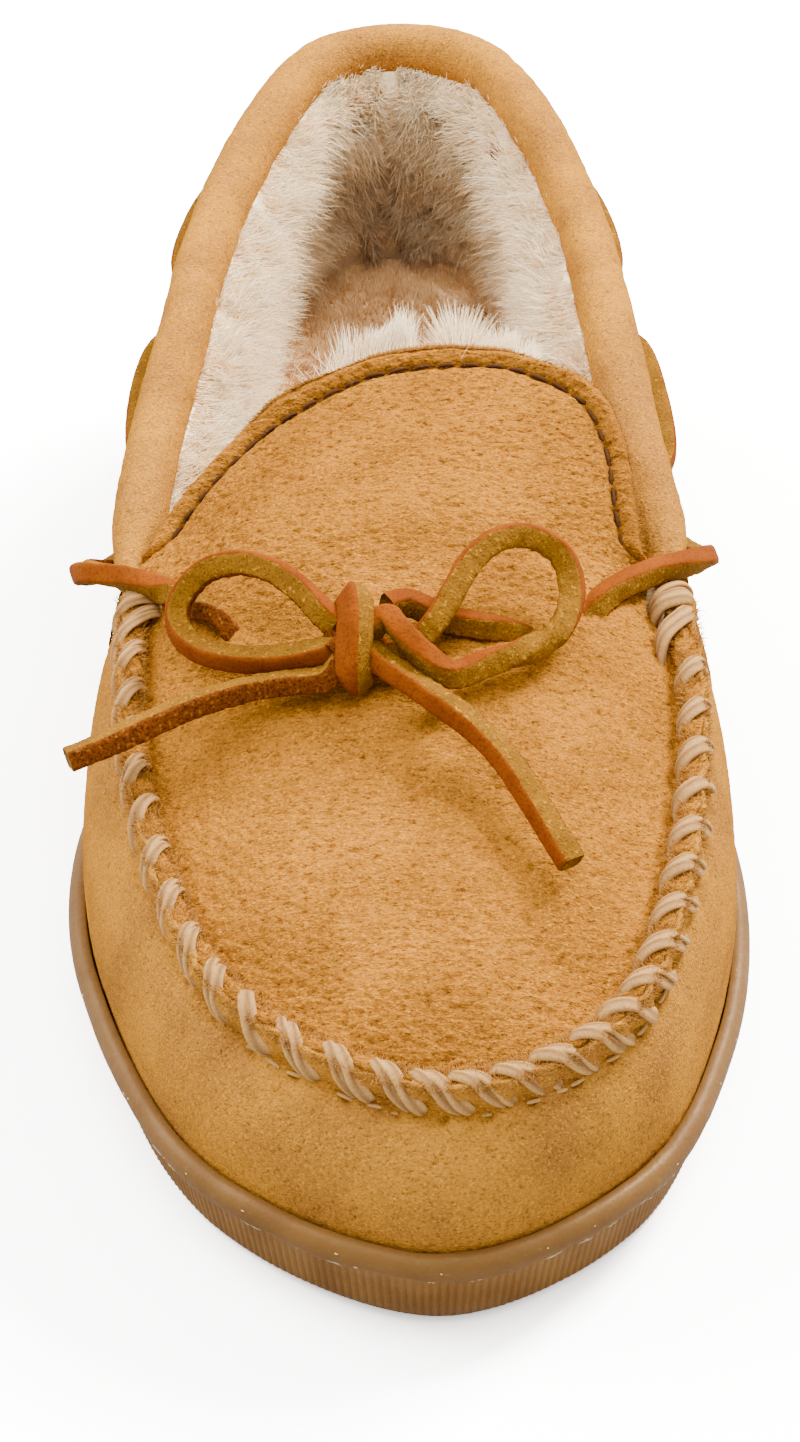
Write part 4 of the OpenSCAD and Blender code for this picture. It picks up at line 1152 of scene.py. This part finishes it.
def fibres(name, roots, ways, lengths, thick, material, body="root", bend=None, seed=0,
           shade=0.0):
    """Tapered three-sided fibres of wool, each bowed a little on its way from its root."""
    n, steps = len(roots), 5
    local = np.random.default_rng(seed)
    ways = unit(ways)
    t = np.linspace(0, 1, steps)
    if bend is None:
        bend = local.normal(0, 0.35, (n, 3))
    line = (roots[:, None] + ways[:, None] * (lengths[:, None] * t)[..., None]
            + bend[:, None] * (lengths[:, None] * t * t * 0.5)[..., None])
    side = unit(np.cross(ways, local.normal(0, 1, (n, 3))))
    other = np.cross(ways, side)
    a = np.arange(3) * 2 * np.pi / 3
    r = (thick * (1 - 0.85 * t ** 1.5))[None, :, None, None]
    ring = side[:, None, None] * np.cos(a)[None, None, :, None] \
        + other[:, None, None] * np.sin(a)[None, None, :, None]
    points = (line[:, :, None] + ring * r).reshape(-1, 3)
    i = np.arange(n)[:, None, None] * (steps * 3)
    j = np.arange(steps - 1)[None, :, None] * 3
    k = np.arange(3)[None, None]
    k2 = (k + 1) % 3
    quads = np.stack(np.broadcast_arrays(i + j + k, i + j + k2, i + j + 3 + k2, i + j + 3 + k), -1)
    i = np.arange(n)[:, None] * (steps * 3)
    caps = np.concatenate([i + [2, 1, 0], i + np.array([0, 1, 2]) + (steps - 1) * 3])
    # painted shade, darkest at each fibre's root; shade adds painted brown shade
    deep = np.repeat(np.tile((1 - t) ** 1.5, n), 3)
    return make(name, points, [quads.reshape(-1, 4), caps], material, body,
                values={"deep": deep, "shade": np.repeat(np.broadcast_to(shade, n), steps * 3)})


def locks(p, seed):
    """Which way the wool leans at each point: neighbours lean together."""
    return np.stack([0.75 * noise(p, 7, seed + a) + 0.45 * noise(p, 2.6, seed + 5 + a)
                     for a in range(3)], -1)


def lining_at(s, t, out=0.0):
    """Face of the wall's lining, which comes nearer the suede under the collar."""
    return wall_at(s, t, -LINING + out + 2.4 * ramp(t, 0.9, 0.99) + 0 * s)


def wall_lining(name, s0, s1, t0, t1, material, node=None):
    """Backing and pressed wool of a side's lining, lumpy like sheared fleece."""
    n, m = 260, 70
    s = np.linspace(s0, s1, n)[:, None]
    t = mix(t0, t1, np.linspace(0, 1, m)[None])
    normal = wall_n(s, t)
    face = lining_at(s, t)
    lump = 0.9 * rough(face, 6, 111, 3)
    face = face + normal * (lump - 0.2)[..., None]
    back = wall_at(s, t, -(SUEDE + 1.2) + 0 * s)
    points, faces = slab(back, face)
    # painted shade in the hollows of the lumpy face, and painted brown shade low round the heel
    deep = np.concatenate([np.zeros(n * m), ramp(lump, -0.1, 0.9).ravel() * 0.6])
    shade = np.concatenate([np.zeros(n * m), (heel_shade(s, t) + 0 * lump).ravel()])
    ob = make(name, points, faces, material, values={"deep": deep, "shade": shade})
    if node:
        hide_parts(node)
    return ob


def heel_shade(s, t):
    """Painted brown shade on the pile low down round the heel."""
    return 0.62 * np.exp(-((s - HEEL_CREASE) / 1.1) ** 2) * (1 - ramp(t, 0.42, 0.82))


def wall_fibres(name, s0, s1, t0, t1, count, length, material, seed):
    """Loose wool standing off a stretch of the wall's lining."""
    local = np.random.default_rng(seed)
    s = local.uniform(s0, s1, count)
    t = local.uniform(t0, t1, count)
    normal = wall_n(s, t)
    roots = lining_at(s, t, 0.4)
    up = ramp(t, 0.5, 0.95)[:, None] * 0.55 - 0.1
    crease = np.exp(-((s - HEEL_CREASE) / 0.12) ** 2)
    # painted brown shade low round the heel and down the fold behind it
    shade = heel_shade(s, t) + 0.35 * crease * (1 - ramp(t, 0.65, 0.9))
    roots = roots + normal * (1.6 * crease)[:, None]
    ways = -normal * 0.8 + np.array([0, 0, 1.0]) * up + locks(roots, seed) \
        + local.normal(0, 0.16, (count, 3))
    ways[:, 0] -= 0.9 * np.sign(s - HEEL_CREASE) * crease
    lengths = length * local.uniform(0.6, 1.15, count) * (1 - 0.4 * crease)
    lengths = lengths * mix(1, 0.45, ramp(t, 0.86, 0.97))
    ob = fibres(name, roots, ways, lengths, 0.15, material, seed=seed, shade=shade)


def add_linings(wool):
    wall_lining("fleece_left", 0.0, 5.74, 0.1, 0.98, wool, "quarter_lining_left")
    wall_lining("fleece_right", -5.54, 0.0, 0.1, 0.98, wool, "quarter_lining_right")
    wall_lining("fleece_vamp", 5.74, 12.46, 0.1, 0.76, wool, "vamp_lining")
    share = wool_share()
    wall_fibres("wool_left", 0.35, 5.7, 0.3, 0.985, int(38000 * share), 6.5, wool, 121)
    wall_fibres("wool_right", -5.5, -0.35, 0.3, 0.985, int(38000 * share), 6.5, wool, 122)
    wall_fibres("wool_heel", -0.4, 0.4, 0.22, 0.985, int(11000 * share), 6.5, wool, 123)
    # under the apron and the tongue: rows from and to, and how far in from their sides
    for name, v0, v1, margin, body, node in (
            ("fleece_apron", 0.9, BEND_ROW - 0.02, 8, "root", "apron_lining"),
            ("fleece_tongue", BEND_ROW + 0.02, 9.86, 2.2, "tongue", "tongue_lining")):
        n, m = 90, 90
        v = np.linspace(v0, v1, m)[None]
        u = np.linspace(-1, 1, n)[:, None] * (1 - margin / half_row(v))
        normal = apron_n(u, v)
        high = apron_p(u, v) - normal * (SUEDE + 0.1)
        low = apron_p(u, v) - normal * (SUEDE + PILE)
        low = low - normal * (0.7 * rough(low, 6, 131, 3))[..., None]
        points, faces = slab(high, low)
        ob = make(name, points, faces, wool, body)
        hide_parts(node)


def add_tongue_wool(wool, local):
    """Tufts that curl out from under the tongue's tip."""
    count = int(6500 * wool_share())
    u = local.uniform(-0.93, 0.93, count)
    v = 9.88 - 1.6 * local.random(count) ** 1.5
    normal = apron_n(u, v)
    roots = apron_p(u, v) - normal * (SUEDE + 2.2 + 0.8 * local.random(count))[:, None]
    tuft = ramp(noise(np.stack([u * 22, v * 0, v * 0], -1), 7, 3), -0.1, 0.35)
    ways = np.array([0, 1.0, 0.2]) - normal * 0.25 + locks(roots, 125) * 1.2 \
        + local.normal(0, 0.28, (count, 3)) + np.array([0, 0, 0.55]) * tuft[:, None]
    above = (unit(ways) * normal).sum(-1, keepdims=True)
    ways = unit(ways) - normal * np.maximum(above - 0.1, 0)
    lengths = local.uniform(2.0, 8.0, count) * (0.4 + 0.75 * tuft)
    curl = locks(roots, 129) * 0.7 + np.array([0, 0.2, 0])
    curl = curl - normal * np.maximum((curl * normal).sum(-1, keepdims=True), 0)
    ob = fibres("wool_tongue", roots, ways, lengths, 0.08, wool, body="tongue", bend=curl,
                seed=126)


def add_insole(tan_wool, local):
    """Short pressed pile, with loose fibres on it."""
    thick = 4.6
    n, m = 240, 80
    s = np.arange(n) * 18 / n
    from_middle = np.linspace(0, 1, m)[None]
    flat = inside_sole(np.repeat(s[:, None], m, 1), INSOLE_INSET, 0, 0.9, from_middle)
    z = INSOLE_Z + lift(flat[..., 1])
    top = at_height(flat, z)
    top[..., 2] += 0.7 * rough(top, 7, 141, 3) - 0.9 * ramp(-from_middle, -0.5, 0) \
        + 1.2 * ramp(from_middle, 0.8, 1)
    points, faces = slab(at_height(flat, z - thick)[:, ::-1], top[:, ::-1], True)
    ob = make("insole_pile", points, faces, tan_wool)
    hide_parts("sock_lining")
    count = int(26000 * wool_share())
    s, q = local.uniform(0, 18, count), np.sqrt(local.random(count))
    flat = inside_sole(s, INSOLE_INSET, 0, 0.9, q)
    # the toe end is out of sight under the apron
    roots = at_height(flat[flat[:, 1] > -75], INSOLE_ROOTS)
    ways = np.array([0, 0.1, 0.75]) + locks(roots, 127) + local.normal(0, 0.25, roots.shape)
    ob = fibres("wool_insole", roots, ways, local.uniform(1.8, 3.6, len(roots)), 0.15, tan_wool,
                seed=128)


def add_seam_fuzz(material, local):
    """Loose fibres along the crest of the seam."""
    count = 16000
    s = local.uniform(5.8, 12.4, count)
    across = local.uniform(-0.3, 2 * SUEDE + GAP + 0.5, count)
    k = flat3(out_at(s))
    high = rise(s) * local.uniform(0.72, 1.0, count)
    roots = closed(TOP, s) + stand(s) * high[:, None] - k * across[:, None]
    ways = np.array([0, 0, 0.8]) - k * ((across - SUEDE) * 0.5)[:, None] \
        + local.normal(0, 0.5, (count, 3))
    ob = fibres("seam_fuzz", roots, ways, local.uniform(0.5, 1.5, count), 0.08, material, seed=152)


def add_tongue_fuzz(material, local):
    """Loose fibres along the tongue's raw edge."""
    count = 7000
    v = local.uniform(6.2, 10, count)
    side = np.where(local.random(count) < 0.5, -1.0, 1.0)
    tip = local.random(count) < 0.45
    v = np.where(tip, 10 - 0.12 * local.random(count), v)
    reach = 1 + (tongue_spread(v) - local.uniform(0.0, 0.5, count)) / half_row(v)
    u = np.where(tip, local.uniform(-1, 1, count), side * reach)
    normal = apron_n(u, v)
    roots = apron_p(u, v) - normal * local.uniform(0.5, 1.5, count)[:, None]
    out = np.where(tip[:, None], np.array([0, 0.9, 0.3]), np.stack([side, 0 * u, 0 * u], -1))
    ways = out + local.normal(0, 0.45, (count, 3)) + normal * 0.2
    ob = fibres("tongue_fuzz", roots, ways, local.uniform(0.4, 1.1, count), 0.07, material,
                body="tongue", seed=153)


def add_label(material):
    """Blank woven tape inside the collar."""
    station, up = -2.2, 0.8
    o, p = out_at(station), wall_at(station, up, -(LINING + 1.4))
    way = np.array([-o[1], o[0], 0])
    n, m = 40, 36
    y = np.linspace(-4.5, 4.5, n)[:, None, None]
    z = np.linspace(-4, 4, m)[None, :, None]
    face = p + way * y + np.array([0, 0, 1.0]) * z + flat3(o) * (0.02 * (y ** 2 - z ** 2))
    face = face + flat3(o) * 0.15 * np.sin(z * 9)
    points, faces = slab(face + flat3(o) * 0.5, face)
    ob = make("blank_label", points, faces, material)
    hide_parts("size_label")


# ---- carried-over parts --------------------------------------------------------------------
def finish_hidden_parts():
    looks = {"midsole": plain("sole_foam", (214, 205, 186), 0.85, 1.2),
             "insole_foam": plain("insole_foam_look", (222, 214, 196), 0.85, 1.0),
             "insole_board": plain("fibre_board", (168, 138, 98), 0.9, 0.8, 0.2),
             "heel_counter": plain("counter_board", (150, 118, 78), 0.9, 0.8, 0.2)}
    for node, material in looks.items():
        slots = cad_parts[node].material_slots
        if not slots:
            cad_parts[node].data.materials.append(material)
        for place in slots:
            place.link = "OBJECT"
            place.material = material


# ---- studio --------------------------------------------------------------------------------
WORLD = 1.45
KEY = 54
SIDE = 24
TOP_LIGHT = 10
# how bright the floor is to the other surfaces, and to the camera
FLOOR_BOUNCE = 0.4
FLOOR_SEEN = 3.3


def area_light(name, place, target, size, power, colour=(1, 1, 1)):
    data = bpy.data.lights.new(name, "AREA")
    data.shape = "RECTANGLE"
    data.size, data.size_y = size
    data.energy = power
    data.color = colour
    light = bpy.data.objects.new(name, data)
    light.location = place
    way = np.array(target, float) - place
    light.rotation_euler = Vector(way).to_track_quat("-Z", "Y").to_euler()
    bpy.context.scene.collection.objects.link(light)


def bright_floor():
    """Pale matt floor, overexposed for the camera as a white sweep is, but not as a reflector."""
    material = bpy.data.materials.new("studio_floor")
    material.use_nodes = True
    tree = material.node_tree
    tree.nodes.remove(tree.nodes["Principled BSDF"])
    path = tree.nodes.new("ShaderNodeLightPath")
    gain = tree.nodes.new("ShaderNodeMapRange")
    gain.inputs["To Min"].default_value = FLOOR_BOUNCE
    gain.inputs["To Max"].default_value = FLOOR_SEEN
    diffuse = tree.nodes.new("ShaderNodeBsdfDiffuse")
    tree.links.new(path.outputs["Is Camera Ray"], gain.inputs["Value"])
    tree.links.new(gain.outputs[0], diffuse.inputs["Color"])
    tree.links.new(diffuse.outputs[0], tree.nodes["Material Output"].inputs["Surface"])
    return material


def add_studio():
    floor_material = bright_floor()
    size = 4000
    corners = np.array([(-size, -size, -0.02), (size, -size, -0.02), (size, size, -0.02),
                        (-size, size, -0.02)], float)
    floor = make("floor", corners, np.array([[0, 1, 2, 3]]), floor_material, body=None)
    world = bpy.data.worlds.new("studio")
    world.use_nodes = True
    world.node_tree.nodes["Background"].inputs["Color"].default_value = (1.0, 0.985, 0.96, 1)
    world.node_tree.nodes["Background"].inputs["Strength"].default_value = WORLD
    bpy.context.scene.world = world
    area_light("key", (0.65, 0.55, 0.9), (0, -0.02, 0.04), (0.4, 0.4), KEY, (1, 0.97, 0.93))
    area_light("side", (-0.8, 0.3, 0.8), (0, -0.02, 0.04), (0.8, 0.8), SIDE, (1, 0.98, 0.96))
    area_light("top", (0.0, -0.3, 1.15), (0, 0.05, 0.04), (0.6, 0.6), TOP_LIGHT, (1, 0.98, 0.95))


# ---- the build -----------------------------------------------------------------------------
add_camera()
rawhide = [lace_grain("rawhide_grain"), lace_cut("rawhide_cut"), lace_back("rawhide_back")]
add_laces(rawhide)
add_knot(rawhide)
apron_suede = suede("suede_apron", (66, 36, 12), (142, 90, 25), (168, 108, 30), 0.5, 0.45, 0.5)
vamp_suede = suede("suede_vamp", (66, 40, 16), (146, 97, 40), (174, 118, 38), 0.25, 0.3, 0.55)
fuzz_suede = pile_material("suede_fuzz", (176, 120, 46), (140, 90, 28))
wool = pile_material("wool_cream", (255, 240, 206), (255, 222, 176))
tan_wool = pile_material("wool_tan", (248, 206, 150), (218, 166, 108))
band_rubber = rubber("gum_band", (106, 74, 34), (94, 63, 27))
rib_rubber = rubber("gum_ribs", (130, 92, 42), (112, 75, 31))
glue = plain("dried_glue", (212, 184, 140), 0.5, 1.0, 0.05)
pale_thread = thread_material("waxed_thread", (184, 140, 82), (96, 62, 32))
dark_thread = thread_material("brown_thread", (64, 36, 12), (34, 18, 6), 0.8)
tape = plain("blank_tape", (228, 218, 200), 0.85, 0.5, 0.08)
add_outsole(rib_rubber)
add_band(band_rubber, glue)
add_vamp(vamp_suede)
add_apron_edge(apron_suede)
add_quarter(vamp_suede, -1)
add_quarter(vamp_suede, 1)
add_back_stay(vamp_suede, pale_thread)
add_collar(vamp_suede)
add_apron(apron_suede)
add_tongue_stitching(dark_thread)
add_seams(pale_thread, dark_thread)
add_whip_stitches(pale_thread)
add_linings(wool)
under_foot = np.random.default_rng(124)
add_tongue_wool(wool, under_foot)
add_insole(tan_wool, under_foot)
raw_edges = np.random.default_rng(151)
add_seam_fuzz(fuzz_suede, raw_edges)
add_tongue_fuzz(fuzz_suede, raw_edges)
add_label(tape)
finish_hidden_parts()
add_studio()
